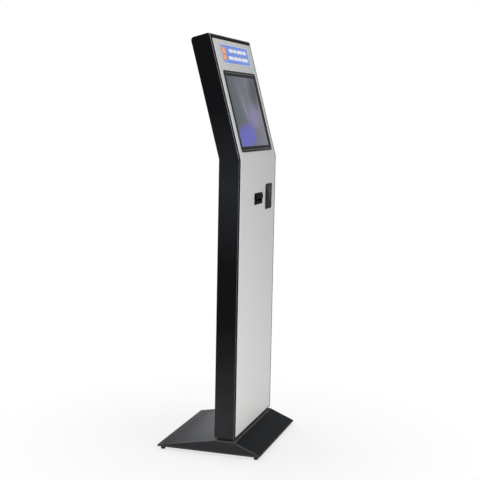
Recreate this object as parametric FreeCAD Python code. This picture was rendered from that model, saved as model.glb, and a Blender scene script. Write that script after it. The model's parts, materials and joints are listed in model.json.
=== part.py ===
"""Floor-standing queue ticket kiosk: a slim steel column with a leaning head on a sloped floor base.

Millimetres, +Z up, +Y to the back. The origin is on the floor at the centre of the base.
Column pieces are drawn with y = 0 on the housing's front face, and head pieces are drawn upright with
y = 0 on the head's front face and z = 0 at the bend. Both are then put in their place.
"""
import FreeCAD
import Part

import math
import os

# Overall form: the column is as wide as its display and a border on each side
HEIGHT = 1583.5
DEPTH = 80.0
LEAN_DEG = 15.0
DISPLAY_BORDER = 49.0
COLUMN_AHEAD = 64.0
SHEET = 1.5
HOUSING_SHEET = 2.0
EDGE_RADIUS = 4.5
EDGE_TO_WALL_SHARE = 2.4
BEND_RADIUS = 30.0
TOP_FRONT_RADIUS = 8.0
TOP_REAR_RADIUS = 12.0

# Clearances, fits and the overrun of every cut
GAP = 0.3
LOOSE = 1.2
RUNNING = 0.05
OVERRUN = 5.0

# Floor base
BASE_OVERHANG = 4.0
BASE_DEPTH = 410.0
BASE_SHEET = 2.0
LIP_HEIGHT = 6.0
PLATFORM_HEIGHT = 60.0
BASE_EDGE_RADIUS = 1.8
FOOT_HEIGHT = 12.5
FOOT_RADIUS = 10.0
FOOT_INSET = 18.0
FOOT_TAPER = 1.5
FOOT_SIDE_COUNT = 16
RISER_INSET = 35.0
RISER_DEPTH = 58.0
RISER_SHEET = 3.0
PLINTH_HEIGHT = 11.0
PLINTH_INSET = 12.0
PLINTH_WALL = 4.0
BOLT_RADIUS = 4.0
BOLT_HEAD_RADIUS = 6.5
BOLT_HEAD_HEIGHT = 5.3
BOLT_INSET = 60.0
CABLE_HOLE = 24.0

# Front panel and the rails that carry it
PANEL_BORDER = 15.0
PANEL_TOP_BORDER = 20.0
PANEL_LOW_BORDER = 5.0
PANEL_PROUD = 1.2
PANEL_RETURN = 8.0
RAIL_WIDTH = 27.0
RAIL_FLANGE = 12.0
RAIL_END_INSET = 16.0
PANEL_BOSS_RADIUS = 4.0
PANEL_BOSS_INSET = 7.5
SCREW_RADIUS = 2.0
SCREW_HEAD_RADIUS = 3.5
SCREW_HEAD_HEIGHT = 2.2
SCREW_LENGTH = 8.0
COLUMN_BOSS_SHARES = (0.06, 0.9)
HEAD_BOSS_SHARES = (0.93,)

# Sign plate
SIGN_SIDE_MARGIN = 80.0
SIGN_TOP_MARGIN = 36.2
SIGN_HEIGHT = 75.0
SIGN_RADIUS = 4.0
SIGN_THICKNESS = 1.5

# Touch display: the bezel is the display module and a border all round
DISPLAY_RISE = 26.0
DISPLAY_TO_SIGN = 27.5
BEZEL_SIDE_BORDER = 21.75
BEZEL_END_BORDER = 8.0
BEZEL_RADIUS = 10.0
BEZEL_PROUD = 2.5
BEZEL_CHAMFER = 1.0
BEZEL_SLEEVE = 1.2
BEZEL_SLEEVE_DEPTH = 10.0
CUTOUT_LAP = 5.0
GLASS_THICKNESS = 3.0
GLASS_RECESS = 1.0
GLASS_RADIUS = 4.0
LCD_WIDTH = 358.5
LCD_HEIGHT = 296.0
LCD_THICKNESS = 14.0
CHASSIS_REAR = 38.0
CHASSIS_SHEET = 1.2
CHASSIS_VENT_COUNT = 9
CHASSIS_VENT_LENGTH = 60.0
CHASSIS_VENT_WIDTH = 4.0
CHASSIS_VENT_PITCH = 9.0
WALL_PLATE_PITCH = 100.0
WALL_PLATE_HOLE_RADIUS = 2.2
BRACKET_FOOT_SHARE = 0.54
BRACKET_MARGIN = 30.0
BOARD_THICKNESS = 1.6
DISPLAY_BOARD_WIDTH = 130.0
DISPLAY_BOARD_HEIGHT = 80.0
STANDOFF_RADIUS = 3.0
STANDOFF_LENGTH = 8.0
STANDOFF_INSET = 6.0
CHIP_HEIGHT = 4.0

# Head cover and fan
COVER_SIDE_MARGIN = 45.0
COVER_LOW_MARGIN = 45.0
COVER_TOP_MARGIN = 31.7
COVER_RADIUS = 6.0
COVER_LAP = 14.0
COVER_SCREW_INSET = 7.0
VENT_WIDTH = 4.0
VENT_PITCH = 10.0
VENT_LENGTH = 90.0
VENT_ROWS = 7
VENT_COLUMN_PITCH = 110.0
INTAKE_RISE = 60.0
FAN_DROP = 60.0
FAN_SIDE = 60.0
FAN_THICKNESS = 15.0
FAN_CORNER_RADIUS = 4.0
FAN_BORE_RADIUS = 28.5
FAN_HUB_RADIUS = 13.0
FAN_HUB_BASE = 3.0
FAN_STRUT = 3.0
FAN_STRUT_COUNT = 4
FAN_BLADE_COUNT = 7
FAN_BLADE_GAP = 1.0
FAN_BLADE_THICKNESS = 1.4
FAN_BLADE_CHORD = 15.0
FAN_BLADE_PITCH_DEG = 38.0
FAN_AXLE_RADIUS = 1.5
FAN_SLOT_PITCH = 7.0
FAN_SLOT_WIDTH = 3.5

# Rear door, hinges and lock
DOOR_BORDER = 16.0
DOOR_FOOT_MARGIN = 99.0
DOOR_TOP_MARGIN = 28.0
DOOR_RETURN = 10.0
JAMB_DEPTH = 12.0
DOOR_VENT_LENGTH = 130.0
DOOR_VENT_SHARES = (0.12, 0.88)
DOOR_VENT_ROWS = 6
HINGE_SHARES = (0.12, 0.88)
HINGE_LEAF_WIDTH = 14.0
HINGE_LEAF_THICKNESS = 2.0
HINGE_KNUCKLE_HEIGHT = 24.0
HINGE_BARREL_RADIUS = 4.0
HINGE_STANDOFF = 4.5
HINGE_PIN_RADIUS = 2.0
HINGE_GAP = 0.4
LOCK_INSET = 20.0
LOCK_SHARE = 0.5
LOCK_RADIUS = 9.0
LOCK_FLANGE_RADIUS = 11.5
LOCK_FLANGE = 2.0
LOCK_NUT_RADIUS = 13.0
LOCK_NUT_THICKNESS = 3.0
PLUG_RADIUS = 6.0
KEYWAY_WIDTH = 1.6
KEYWAY_HEIGHT = 7.0
KEYWAY_DEPTH = 6.0
CAM_LENGTH = 27.0
CAM_WIDTH = 12.0
CAM_THICKNESS = 2.0

# Ticket mouth
MOUTH_WIDTH = 102.0
MOUTH_HEIGHT = 44.0
MOUTH_DROP = 158.0
MOUTH_RADIUS = 3.0
MOUTH_FLANGE = 2.5
HOOD_REACH = 4.0
HOOD_MARGIN = 5.0
SLOT_WIDTH = 84.0
SLOT_HEIGHT = 8.0
SLOT_DROP = 5.0
SLOT_WALL = 2.5
SCOOP_WIDTH = 72.0
SCOOP_HEIGHT = 9.0

# Ticket reader
READER_WIDTH = 83.0
READER_HEIGHT = 101.0
READER_SIDE_MARGIN = 66.5
READER_RADIUS = 6.0
READER_FLANGE = 3.0
READER_RIM = 8.0
READER_CHAMFER = 1.2
READER_SLEEVE_WALL = 2.0
READER_SLEEVE_DEPTH = 12.0
READER_DOME_RADIUS = 420.0
READER_WINDOW_THICKNESS = 3.0
READER_WINDOW_RECESS = 0.5
READER_MODULE_DEPTH = 34.0
READER_EYE_RADIUS = 20.0
READER_EYE_REACH = 3.0
READER_MODULE_RADIUS = 5.0

# Ticket printer
SHELF_WEB = 32.0
SHELF_REACH = 68.0
TICKET_WIDTH = 80.0
ROLL_RADIUS = 28.0
ROLL_DEPTH = 38.0
ROLL_CLEARANCE = 3.0
CORE_BORE_RADIUS = 6.35
CORE_WALL = 1.6
SPINDLE_RADIUS = 6.0
JOURNAL_RADIUS = 4.0
BUCKET_FLOOR = 3.0
BUCKET_CHEEK = 3.0
BUCKET_SIDE_GAP = 2.5
BUCKET_HEIGHT = 70.0
BUCKET_REAR_LIP = 22.0
FRAME_HEIGHT = 56.0
FRAME_BELOW_SLOT = 44.0
FRAME_FRONT = 16.0
FRAME_REAR = 72.0
FRAME_SIDE_GAP = 4.0
PLATEN_RADIUS = 6.0
PLATEN_DEPTH = 44.0
PLATEN_SHAFT_RADIUS = 2.5
PLATEN_SIDE_GAP = 1.0
BUSH_RADIUS = 4.2
NOTCH_GAP = 1.7
HEAD_DEPTH = 16.0
HEAD_HEIGHT = 9.0
HEAD_FIN_COUNT = 6
HEAD_FIN_HEIGHT = 4.0
CUTTER_DEPTH = 16.0
CUTTER_BELOW = 18.0
CUTTER_ABOVE = 17.0
BLADE_THICKNESS = 1.2
BLADE_HEIGHT = 11.0
BLADE_TRAVEL = 9.0
BLADE_VEE = 3.0
COVER_HINGE_DEPTH = 66.0
COVER_HINGE_RISE = 8.0
COVER_PIN_RADIUS = 2.0
COVER_PLATE = 2.0
CHEEK_WALL = 1.8
COVER_TAB = 5.5
COVER_GRIP_HEIGHT = 6.0
COVER_GRIP_WIDTH = 24.0
GEAR_MODULE = 0.8
GEAR_WIDTH = 4.0
PLATEN_TEETH = 20
IDLER_TEETH = 28
PINION_TEETH = 12
PINION_ANGLE_DEG = 240.0
IDLER_AXLE_RADIUS = 2.0
MOTOR_RADIUS = 9.0
MOTOR_LENGTH = 18.0
MOTOR_SHAFT_RADIUS = 1.5
PRINTER_BOARD_DEPTH = 46.0
PRINTER_BOARD_HEIGHT = 44.0
BUTTON_BASE_SIDE = 8.0
BUTTON_BASE_HEIGHT = 3.5
BUTTON_CAP_RADIUS = 3.5
BUTTON_CAP_HEIGHT = 3.6
BUTTON_STEM_RADIUS = 1.8
BUTTON_TRAVEL = 1.2

# Electronics in the column
EQUIPMENT_SIDE_MARGIN = 9.0
EQUIPMENT_RISE = 30.0
EQUIPMENT_DROP = 106.0
EQUIPMENT_SCREW_INSET = 13.5
EQUIPMENT_SCREW_SHARES = (0.05, 0.95)
UNIT_RISE_SHARE = 0.64
UNIT_GAP = 61.0
COMPUTER_WIDTH = 190.0
COMPUTER_HEIGHT = 180.0
COMPUTER_DEPTH = 42.0
COMPUTER_RADIUS = 4.0
FIN_COUNT = 14
FIN_THICKNESS = 3.0
FIN_HEIGHT = 9.0
POWER_BUTTON_RADIUS = 6.0
SUPPLY_WIDTH = 98.0
SUPPLY_HEIGHT = 159.0
SUPPLY_DEPTH = 30.0
SUPPLY_WALL = 1.2
SUPPLY_SLOT_COUNT = 8
SUPPLY_SLOT_LENGTH = 60.0
SUPPLY_SLOT_WIDTH = 3.0
SUPPLY_SLOT_PITCH = 12.0
TERMINAL_HEIGHT = 16.0
TERMINAL_DEPTH = 14.0
TERMINAL_INSET = 6.0

# Power inlet with its rocker switch
INLET_SIDE_MARGIN = 100.0
INLET_HEIGHT = 120.0
INLET_FLANGE_WIDTH = 50.0
INLET_FLANGE_HEIGHT = 60.0
INLET_FLANGE_THICKNESS = 2.5
INLET_FLANGE_RADIUS = 4.0
INLET_BODY_WIDTH = 27.5
INLET_BODY_HEIGHT = 47.0
INLET_BODY_DEPTH = 30.0
INLET_SCREW_PITCH = 40.0
SOCKET_WIDTH = 25.0
SOCKET_HEIGHT = 17.0
SOCKET_DEPTH = 17.0
SOCKET_DROP = 12.0
SOCKET_CHAMFER = 5.0
PIN_WIDTH = 2.0
PIN_HEIGHT = 4.0
PIN_SHORT = 3.0
PIN_SPREAD = 7.0
PIN_DROP = 2.0
ROCKER_WIDTH = 19.0
ROCKER_HEIGHT = 13.0
ROCKER_RISE = 14.0
ROCKER_TILT_DEG = 9.0
ROCKER_PIVOT_DEPTH = 4.0
ROCKER_CROWN = 3.5
ROCKER_SHAFT_RADIUS = 1.5

# Places worked out from the sizes above
LEAN = math.radians(LEAN_DEG)
BEZEL_WIDTH = LCD_WIDTH + 2 * BEZEL_SIDE_BORDER
BEZEL_HEIGHT = LCD_HEIGHT + 2 * BEZEL_END_BORDER
WIDTH = BEZEL_WIDTH + 2 * DISPLAY_BORDER
HALF = WIDTH / 2
BASE_WIDTH = WIDTH + 2 * BASE_OVERHANG
RISER_WIDTH = WIDTH - 2 * RISER_INSET
SIGN_WIDTH = WIDTH - 2 * SIGN_SIDE_MARGIN
DISPLAY_CENTRE = DISPLAY_RISE + BEZEL_HEIGHT / 2
SIGN_CENTRE = DISPLAY_RISE + BEZEL_HEIGHT + DISPLAY_TO_SIGN + SIGN_HEIGHT / 2
HEAD_LENGTH = SIGN_CENTRE + SIGN_HEIGHT / 2 + SIGN_TOP_MARGIN
HEAD_THICKNESS = DEPTH * math.cos(LEAN)
BEND_HEIGHT = HEIGHT - HEAD_LENGTH * math.cos(LEAN)
COLUMN_FOOT = PLATFORM_HEIGHT + PLINTH_HEIGHT
PLATE_TOP = FOOT_HEIGHT + LIP_HEIGHT - BASE_SHEET
FRONT_Y = -COLUMN_AHEAD - DEPTH / 2
PANEL_HALF = HALF - PANEL_BORDER
PANEL_FRONT = -PANEL_PROUD
PANEL_BACK = SHEET - PANEL_PROUD
RAIL_BACK = PANEL_RETURN + SHEET
COVER_WIDTH = WIDTH - 2 * COVER_SIDE_MARGIN
COVER_HEIGHT = HEAD_LENGTH - COVER_LOW_MARGIN - COVER_TOP_MARGIN
COVER_CENTRE = COVER_LOW_MARGIN + COVER_HEIGHT / 2
INTAKE_CENTRE = COVER_LOW_MARGIN + INTAKE_RISE
FAN_CENTRE = COVER_LOW_MARGIN + COVER_HEIGHT - FAN_DROP
DOOR_LOW = COLUMN_FOOT + DOOR_FOOT_MARGIN
DOOR_HIGH = BEND_HEIGHT - DOOR_TOP_MARGIN
DOOR_HALF = HALF - DOOR_BORDER
DOOR_SPAN = DOOR_HIGH - DOOR_LOW
HINGE_DEPTH = DEPTH + HINGE_STANDOFF
LOCK_X = LOCK_INSET - DOOR_HALF
LOCK_Z = DOOR_LOW + LOCK_SHARE * DOOR_SPAN
LOCK_DEPTH = JAMB_DEPTH + GAP
MOUTH_CENTRE = BEND_HEIGHT - MOUTH_DROP
READER_OFFSET = HALF - READER_SIDE_MARGIN - READER_WIDTH / 2
SLOT_Z = MOUTH_CENTRE - SLOT_DROP
SLEEVE_HALF_W = BEZEL_WIDTH / 2 - CUTOUT_LAP - GAP
SLEEVE_HALF_H = BEZEL_HEIGHT / 2 - CUTOUT_LAP - GAP
GLASS_FRONT = PANEL_FRONT - BEZEL_PROUD + GLASS_RECESS
GLASS_BACK = GLASS_FRONT + GLASS_THICKNESS
LCD_BACK = GLASS_BACK + LCD_THICKNESS
CUTTER_FRONT = FRAME_FRONT
FRAME_LOW = SLOT_Z - FRAME_BELOW_SLOT
SHELF_HEIGHT = FRAME_LOW - BUCKET_HEIGHT
FRAME_HIGH = FRAME_LOW + FRAME_HEIGHT
FRAME_INNER = TICKET_WIDTH / 2 + FRAME_SIDE_GAP
ROLL_Z = SHELF_HEIGHT + BUCKET_FLOOR + ROLL_CLEARANCE + ROLL_RADIUS
PLATEN_Z = SLOT_Z + PLATEN_RADIUS + GAP / 2
HEAD_TOP = SLOT_Z - GAP / 2
COVER_HINGE_Z = SLOT_Z + COVER_HINGE_RISE
IDLER_Z = PLATEN_Z - GEAR_MODULE * (PLATEN_TEETH + IDLER_TEETH) / 2
PINION_REACH = GEAR_MODULE * (IDLER_TEETH + PINION_TEETH) / 2
PINION_DEPTH = PLATEN_DEPTH + PINION_REACH * math.cos(math.radians(PINION_ANGLE_DEG))
PINION_Z = IDLER_Z + PINION_REACH * math.sin(math.radians(PINION_ANGLE_DEG))
GEAR_LOW_X = FRAME_INNER + SHEET + 2 * GAP
BLADE_DEPTH = CUTTER_FRONT + CUTTER_DEPTH / 2
BOARD_X = -FRAME_INNER - SHEET - BOARD_THICKNESS - GAP
EQUIPMENT_WIDTH = WIDTH - 2 * EQUIPMENT_SIDE_MARGIN
EQUIPMENT_LOW = DOOR_LOW + EQUIPMENT_RISE
EQUIPMENT_HIGH = SHELF_HEIGHT - EQUIPMENT_DROP
UNIT_LOW = EQUIPMENT_LOW + UNIT_RISE_SHARE * (EQUIPMENT_HIGH - EQUIPMENT_LOW - COMPUTER_HEIGHT)
COMPUTER_X = -COMPUTER_WIDTH / 2
SUPPLY_X = UNIT_GAP + SUPPLY_WIDTH / 2
INLET_X = HALF - INLET_SIDE_MARGIN
SWITCH_Z = INLET_HEIGHT + ROCKER_RISE
ROLL_AXIS = ROLL_DEPTH, ROLL_Z
PLATEN_AXIS = PLATEN_DEPTH, PLATEN_Z
IDLER_AXIS = PLATEN_DEPTH, IDLER_Z
PINION_AXIS = PINION_DEPTH, PINION_Z
COVER_AXIS = COVER_HINGE_DEPTH, COVER_HINGE_Z


def vec(x, y, z):
    return FreeCAD.Vector(x, y, z)


ALONG_X, ALONG_Y, ALONG_Z = vec(1, 0, 0), vec(0, 1, 0), vec(0, 0, 1)
ORIGIN = vec(0, 0, 0)


def on_column(shape):
    """Puts a piece drawn against the housing's front plane in its place."""
    return shape.translated(vec(0, FRONT_Y, 0))


def on_head(shape):
    """Leans a piece drawn upright against the head's front plane and lifts it to the bend."""
    return shape.rotated(ORIGIN, ALONG_X, -LEAN_DEG).translated(vec(0, FRONT_Y, BEND_HEIGHT))


def block(xs, ys, zs):
    """A box between pairs of low and high coordinates."""
    size = [high - low for low, high in (xs, ys, zs)]
    return Part.makeBox(*size, vec(xs[0], ys[0], zs[0]))


def rod(radius, start, end):
    """A cylinder from one point to another."""
    return Part.makeCylinder(radius, (end - start).Length, start, end - start)


def cross_rod(radius, xs, place):
    """A cylinder across the kiosk from one x to another, at a (y, z) place."""
    return rod(radius, vec(xs[0], *place), vec(xs[1], *place))


def deep_rod(radius, place, ys):
    """A cylinder from front to back between two depths, at an (x, z) place."""
    x, z = place
    return rod(radius, vec(x, ys[0], z), vec(x, ys[1], z))


def polygon_wire(radius, sides, height):
    """A level polygon round the origin."""
    turns = [2 * math.pi * i / sides for i in range(sides)]
    corners = [vec(radius * math.cos(t), radius * math.sin(t), height) for t in turns]
    return Part.makePolygon(corners + corners[:1])


def hexagon(radius, low, high):
    return Part.Face(polygon_wire(radius, 6, low)).extrude(vec(0, 0, high - low))


def deep_hexagon(radius, place, ys):
    """A six-sided rod from front to back, for hidden screws' shanks and holes."""
    x, z = place
    return hexagon(radius, ys[0], ys[1]).rotated(ORIGIN, ALONG_X, -90).translated(vec(x, 0, z))


def rounded_face(points, radii):
    """A flat face whose corners are rounded, each by its own radius, with 0 for a sharp one."""
    count = len(points)
    starts, middles, ends = [], [], []
    for i, corner in enumerate(points):
        before = (points[i - 1] - corner).normalize()
        after = (points[(i + 1) % count] - corner).normalize()
        half_angle = before.getAngle(after) / 2
        reach = radii[i] / math.tan(half_angle)
        inward = (before + after).normalize()
        starts.append(corner + before * reach)
        ends.append(corner + after * reach)
        middles.append(corner + inward * (radii[i] / math.sin(half_angle) - radii[i]))
    edges = []
    for i in range(count):
        if radii[i]:
            edges.append(Part.Arc(starts[i], middles[i], ends[i]).toShape())
        edges.append(Part.LineSegment(ends[i], starts[(i + 1) % count]).toShape())
    return Part.Face(Part.Wire(edges))


def across(profile, radii, low, high):
    """A side profile of (y, z) points, run across the kiosk from one x to another."""
    points = [vec(low, y, z) for y, z in profile]
    return rounded_face(points, radii).extrude(vec(high - low, 0, 0))


def sharp(profile, low, high):
    return across(profile, [0] * len(profile), low, high)


def upright_plate(size, radius, centre, ys):
    """A plate facing front with rounded corners: size and centre are (x, z) pairs, ys its two faces."""
    half_w, half_h = size[0] / 2, size[1] / 2
    signs = ((-1, -1), (1, -1), (1, 1), (-1, 1))
    points = [vec(centre[0] + a * half_w, ys[0], centre[1] + b * half_h) for a, b in signs]
    return rounded_face(points, [radius] * len(points)).extrude(vec(0, ys[1] - ys[0], 0))


def inset(profile, depths):
    """Moves each side of a closed profile inward by its own depth; side i runs from point i to the next."""
    count = len(profile)
    moved = []
    for i in range(count):
        lines = []
        for side in (i - 1, i):
            y0, z0 = profile[side]
            y1, z1 = profile[(side + 1) % count]
            length = math.hypot(y1 - y0, z1 - z0)
            normal = (-(z1 - z0) / length, (y1 - y0) / length)
            lines.append((normal, normal[0] * y0 + normal[1] * z0 + depths[side]))
        (a, c), (b, d) = lines
        det = a[0] * b[1] - a[1] * b[0]
        moved.append(((c * b[1] - d * a[1]) / det, (a[0] * d - b[0] * c) / det))
    return moved


def filleted(shape, radius, chosen):
    """Rounds the edges whose every point passes a test."""
    edges = [e for e in shape.Edges if all(chosen(p) for p in e.discretize(Number=len("ends")))]
    return shape.makeFillet(radius, edges)


def bevelled(shape, size, chosen):
    """Cuts a flat chamfer along the edges whose every point passes a test."""
    edges = [e for e in shape.Edges if all(chosen(p) for p in e.discretize(Number=len("ends")))]
    return shape.makeChamfer(size, edges)


def near(a, b):
    return abs(a - b) < GAP / 10


def grid(xs, zs):
    return [(x, z) for x in xs for z in zs]


def spread(low, high, shares):
    return [low + share * (high - low) for share in shares]


def evenly(centre, pitch, count):
    return [centre + pitch * (i - (count - 1) / 2) for i in range(count)]


def both_sides(shape):
    """The piece and its mirror image across the middle plane."""
    return [shape, shape.mirror(ORIGIN, ALONG_X)]


# The leaning side profile, shared by the housing, the front panel and the rails

def outline():
    rear = FRONT_Y + DEPTH
    top_y = FRONT_Y + HEAD_LENGTH * math.sin(LEAN)
    return [
        (FRONT_Y, COLUMN_FOOT),
        (rear, COLUMN_FOOT),
        (rear, BEND_HEIGHT),
        (top_y + HEAD_THICKNESS * math.cos(LEAN), HEIGHT - HEAD_THICKNESS * math.sin(LEAN)),
        (top_y, HEIGHT),
        (FRONT_Y, BEND_HEIGHT),
    ]


def column_solid(wall, half_width):
    """The whole leaning form, smaller all round by one wall."""
    profile = inset(outline(), [wall] * len(outline()))
    radii = [0, 0, BEND_RADIUS + wall, TOP_REAR_RADIUS - wall, TOP_FRONT_RADIUS - wall, BEND_RADIUS - wall]
    return across(profile, radii, -half_width, half_width)


def rounded_column():
    radius = min(EDGE_RADIUS, EDGE_TO_WALL_SHARE * HOUSING_SHEET)
    return filleted(column_solid(0, HALF), radius, lambda p: near(abs(p.x), HALF) and p.z > COLUMN_FOOT + GAP)


def band(front, back, low, high, xs):
    """A bent layer behind the front face: depths of its faces, and how far its ends stay inside."""
    lines = []
    for depth in (front, back):
        moved = inset(outline(), [low, 0, 0, high, depth, depth])
        lines.append([moved[0], moved[5], moved[4]])
    profile = lines[0] + lines[1][::-1]
    radii = [0, BEND_RADIUS - front, 0, 0, BEND_RADIUS - back, 0]
    return across(profile, radii, xs[0], xs[1])


# Floor base

def base_outline():
    front, rear = -BASE_DEPTH / 2, BASE_DEPTH / 2
    lip_top = FOOT_HEIGHT + LIP_HEIGHT
    return [
        (front, FOOT_HEIGHT),
        (rear, FOOT_HEIGHT),
        (rear, lip_top),
        (FRONT_Y + DEPTH, PLATFORM_HEIGHT),
        (FRONT_Y, PLATFORM_HEIGHT),
        (front, lip_top),
    ]


def column_bolt_places():
    centre = FRONT_Y + DEPTH / 2
    reach = HALF - BOLT_INSET
    return [(x, centre) for x in (-reach, -reach / 3, reach / 3, reach)]


def cable_way(low, high):
    """The square hole that leads the mains cable's room from base to column."""
    half, centre = CABLE_HOLE / 2, FRONT_Y + DEPTH / 2
    return block((-half, half), (centre - half, centre + half), (low, high))


def bolt_holes(radius):
    low = FOOT_HEIGHT + LIP_HEIGHT + OVERRUN
    high = COLUMN_FOOT + HOUSING_SHEET + OVERRUN
    return [hexagon(radius, low, high).translated(vec(x, y, 0)) for x, y in column_bolt_places()]


def base_cover():
    half = BASE_WIDTH / 2
    outer = sharp(base_outline(), -half, half)
    outer = filleted(outer, BASE_EDGE_RADIUS, lambda p: near(abs(p.x), half) and p.z > FOOT_HEIGHT + GAP)
    depths = [-OVERRUN] + [BASE_SHEET] * (len(base_outline()) - 1)
    hollow = sharp(inset(base_outline(), depths), BASE_SHEET - half, half - BASE_SHEET)
    return outer.cut([hollow, cable_way(FOOT_HEIGHT, HEIGHT)] + bolt_holes(BOLT_RADIUS + GAP))


def foot_places():
    x = BASE_WIDTH / 2 - FOOT_INSET
    y = BASE_DEPTH / 2 - FOOT_INSET
    return grid((-x, x), (-y, y))


def base_plate():
    half_x = BASE_WIDTH / 2 - BASE_SHEET - GAP
    half_y = BASE_DEPTH / 2 - BASE_SHEET - GAP
    return block((-half_x, half_x), (-half_y, half_y), (FOOT_HEIGHT, PLATE_TOP))


def base_feet():
    sole = polygon_wire(FOOT_RADIUS - FOOT_TAPER, FOOT_SIDE_COUNT, 0)
    foot = Part.makeLoft([sole, polygon_wire(FOOT_RADIUS, FOOT_SIDE_COUNT, FOOT_HEIGHT)], True, True)
    return Part.makeCompound([foot.translated(vec(x, y, 0)) for x, y in foot_places()])


def screw_in():
    """The one screw used all over, head to the back, the seat of its hexagon head at y = 0."""
    head = hexagon(SCREW_HEAD_RADIUS, 0, SCREW_HEAD_HEIGHT)
    screw = head.fuse(hexagon(SCREW_RADIUS, -SCREW_LENGTH, 0))
    return screw.rotated(ORIGIN, ALONG_X, -90)


def base_riser():
    """An upturned channel between base plate and platform that takes the column's bolts."""
    low, high = PLATE_TOP, PLATFORM_HEIGHT - BASE_SHEET
    centre = FRONT_Y + DEPTH / 2
    ys = (centre - RISER_DEPTH / 2, centre + RISER_DEPTH / 2)
    solid = block((-RISER_WIDTH / 2, RISER_WIDTH / 2), ys, (low, high))
    inside = (ys[0] + RISER_SHEET, ys[1] - RISER_SHEET)
    hollow = block((-RISER_WIDTH, RISER_WIDTH), inside, (low - OVERRUN, high - RISER_SHEET))
    return solid.cut([hollow, cable_way(low, HEIGHT)] + bolt_holes(BOLT_RADIUS))


def column_plinth():
    """The set-back frame that makes the shadow gap under the column."""
    half_x = HALF - PLINTH_INSET
    ys = (FRONT_Y + PLINTH_INSET, FRONT_Y + DEPTH - PLINTH_INSET)
    solid = block((-half_x, half_x), ys, (PLATFORM_HEIGHT, COLUMN_FOOT))
    hollow = block(
        (PLINTH_WALL - half_x, half_x - PLINTH_WALL),
        (ys[0] + PLINTH_WALL, ys[1] - PLINTH_WALL),
        (PLATFORM_HEIGHT + PLINTH_WALL, COLUMN_FOOT + OVERRUN),
    )
    reach = 2 * BOLT_RADIUS
    posts = [
        block((x - reach, x + reach), (y - reach, y + reach), (PLATFORM_HEIGHT, COLUMN_FOOT))
        for x, y in column_bolt_places()
    ]
    return solid.cut(hollow).fuse(posts).cut([cable_way(0, HEIGHT)] + bolt_holes(BOLT_RADIUS + GAP))


def column_bolts():
    bolts = []
    seat = COLUMN_FOOT + HOUSING_SHEET
    for x, y in column_bolt_places():
        head = hexagon(BOLT_HEAD_RADIUS, 0, BOLT_HEAD_HEIGHT)
        low = PLATFORM_HEIGHT - BASE_SHEET - RISER_SHEET - seat
        bolts.append(head.fuse(hexagon(BOLT_RADIUS, low, 0)).translated(vec(x, y, seat)))
    return Part.makeCompound(bolts)


# Housing, front panel and rails

def housing():
    shell = rounded_column().cut(column_solid(HOUSING_SHEET, HALF - HOUSING_SHEET))
    window_half = PANEL_HALF + GAP
    window = band(
        -OVERRUN, OVERRUN, PANEL_LOW_BORDER - GAP, PANEL_TOP_BORDER - GAP, (-window_half, window_half)
    )
    door_xs = (-DOOR_HALF, DOOR_HALF)
    jamb_zs = (DOOR_LOW - SHEET, DOOR_HIGH + SHEET)
    jamb = block((-DOOR_HALF - SHEET, DOOR_HALF + SHEET), (DEPTH - JAMB_DEPTH, DEPTH), jamb_zs)
    doorway = block(door_xs, (DEPTH - JAMB_DEPTH - OVERRUN, DEPTH + OVERRUN), (DOOR_LOW, DOOR_HIGH))
    inlet_hole = upright_plate(
        (INLET_BODY_WIDTH + 2 * GAP, INLET_BODY_HEIGHT + 2 * GAP),
        0,
        (INLET_X, INLET_HEIGHT),
        (DEPTH - OVERRUN, DEPTH + OVERRUN),
    )
    inlet_holes = inlet_screw_tools(SCREW_RADIUS)
    head_window = upright_plate(
        (COVER_WIDTH - 2 * COVER_LAP, COVER_HEIGHT - 2 * COVER_LAP),
        0,
        (0, COVER_CENTRE),
        (HEAD_THICKNESS - OVERRUN, HEAD_THICKNESS + OVERRUN),
    )
    screw_holes = [on_head(tool) for tool in cover_screw_tools(SCREW_RADIUS)]
    shell = shell.fuse(on_column(jamb))
    cuts = [window, on_column(doorway), on_column(inlet_hole), on_head(head_window), cable_way(0, DOOR_LOW)]
    cuts += [on_column(hole) for hole in inlet_holes] + screw_holes + bolt_holes(BOLT_RADIUS + GAP)
    return shell.cut(cuts)


def boss_places():
    """Where the front panel is screwed to its rails: (x, z, whether on the head)."""
    x = PANEL_HALF - PANEL_BOSS_INSET
    low = COLUMN_FOOT + PANEL_LOW_BORDER
    column = [(s, z, False) for s, z in grid((-x, x), spread(low, BEND_HEIGHT, COLUMN_BOSS_SHARES))]
    head = [(s, z, True) for s, z in grid((-x, x), spread(0, HEAD_LENGTH - PANEL_TOP_BORDER, HEAD_BOSS_SHARES))]
    return column + head


def at_bosses(shape):
    """Copies of a piece drawn along y at the origin, one at every boss."""
    copies = []
    for x, z, leaning in boss_places():
        copy = shape.translated(vec(x, 0, z))
        copies.append(on_head(copy) if leaning else on_column(copy))
    return copies


def display_cutout(ys):
    size = (BEZEL_WIDTH - 2 * CUTOUT_LAP, BEZEL_HEIGHT - 2 * CUTOUT_LAP)
    return on_head(upright_plate(size, 0, (0, DISPLAY_CENTRE), ys))


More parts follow.
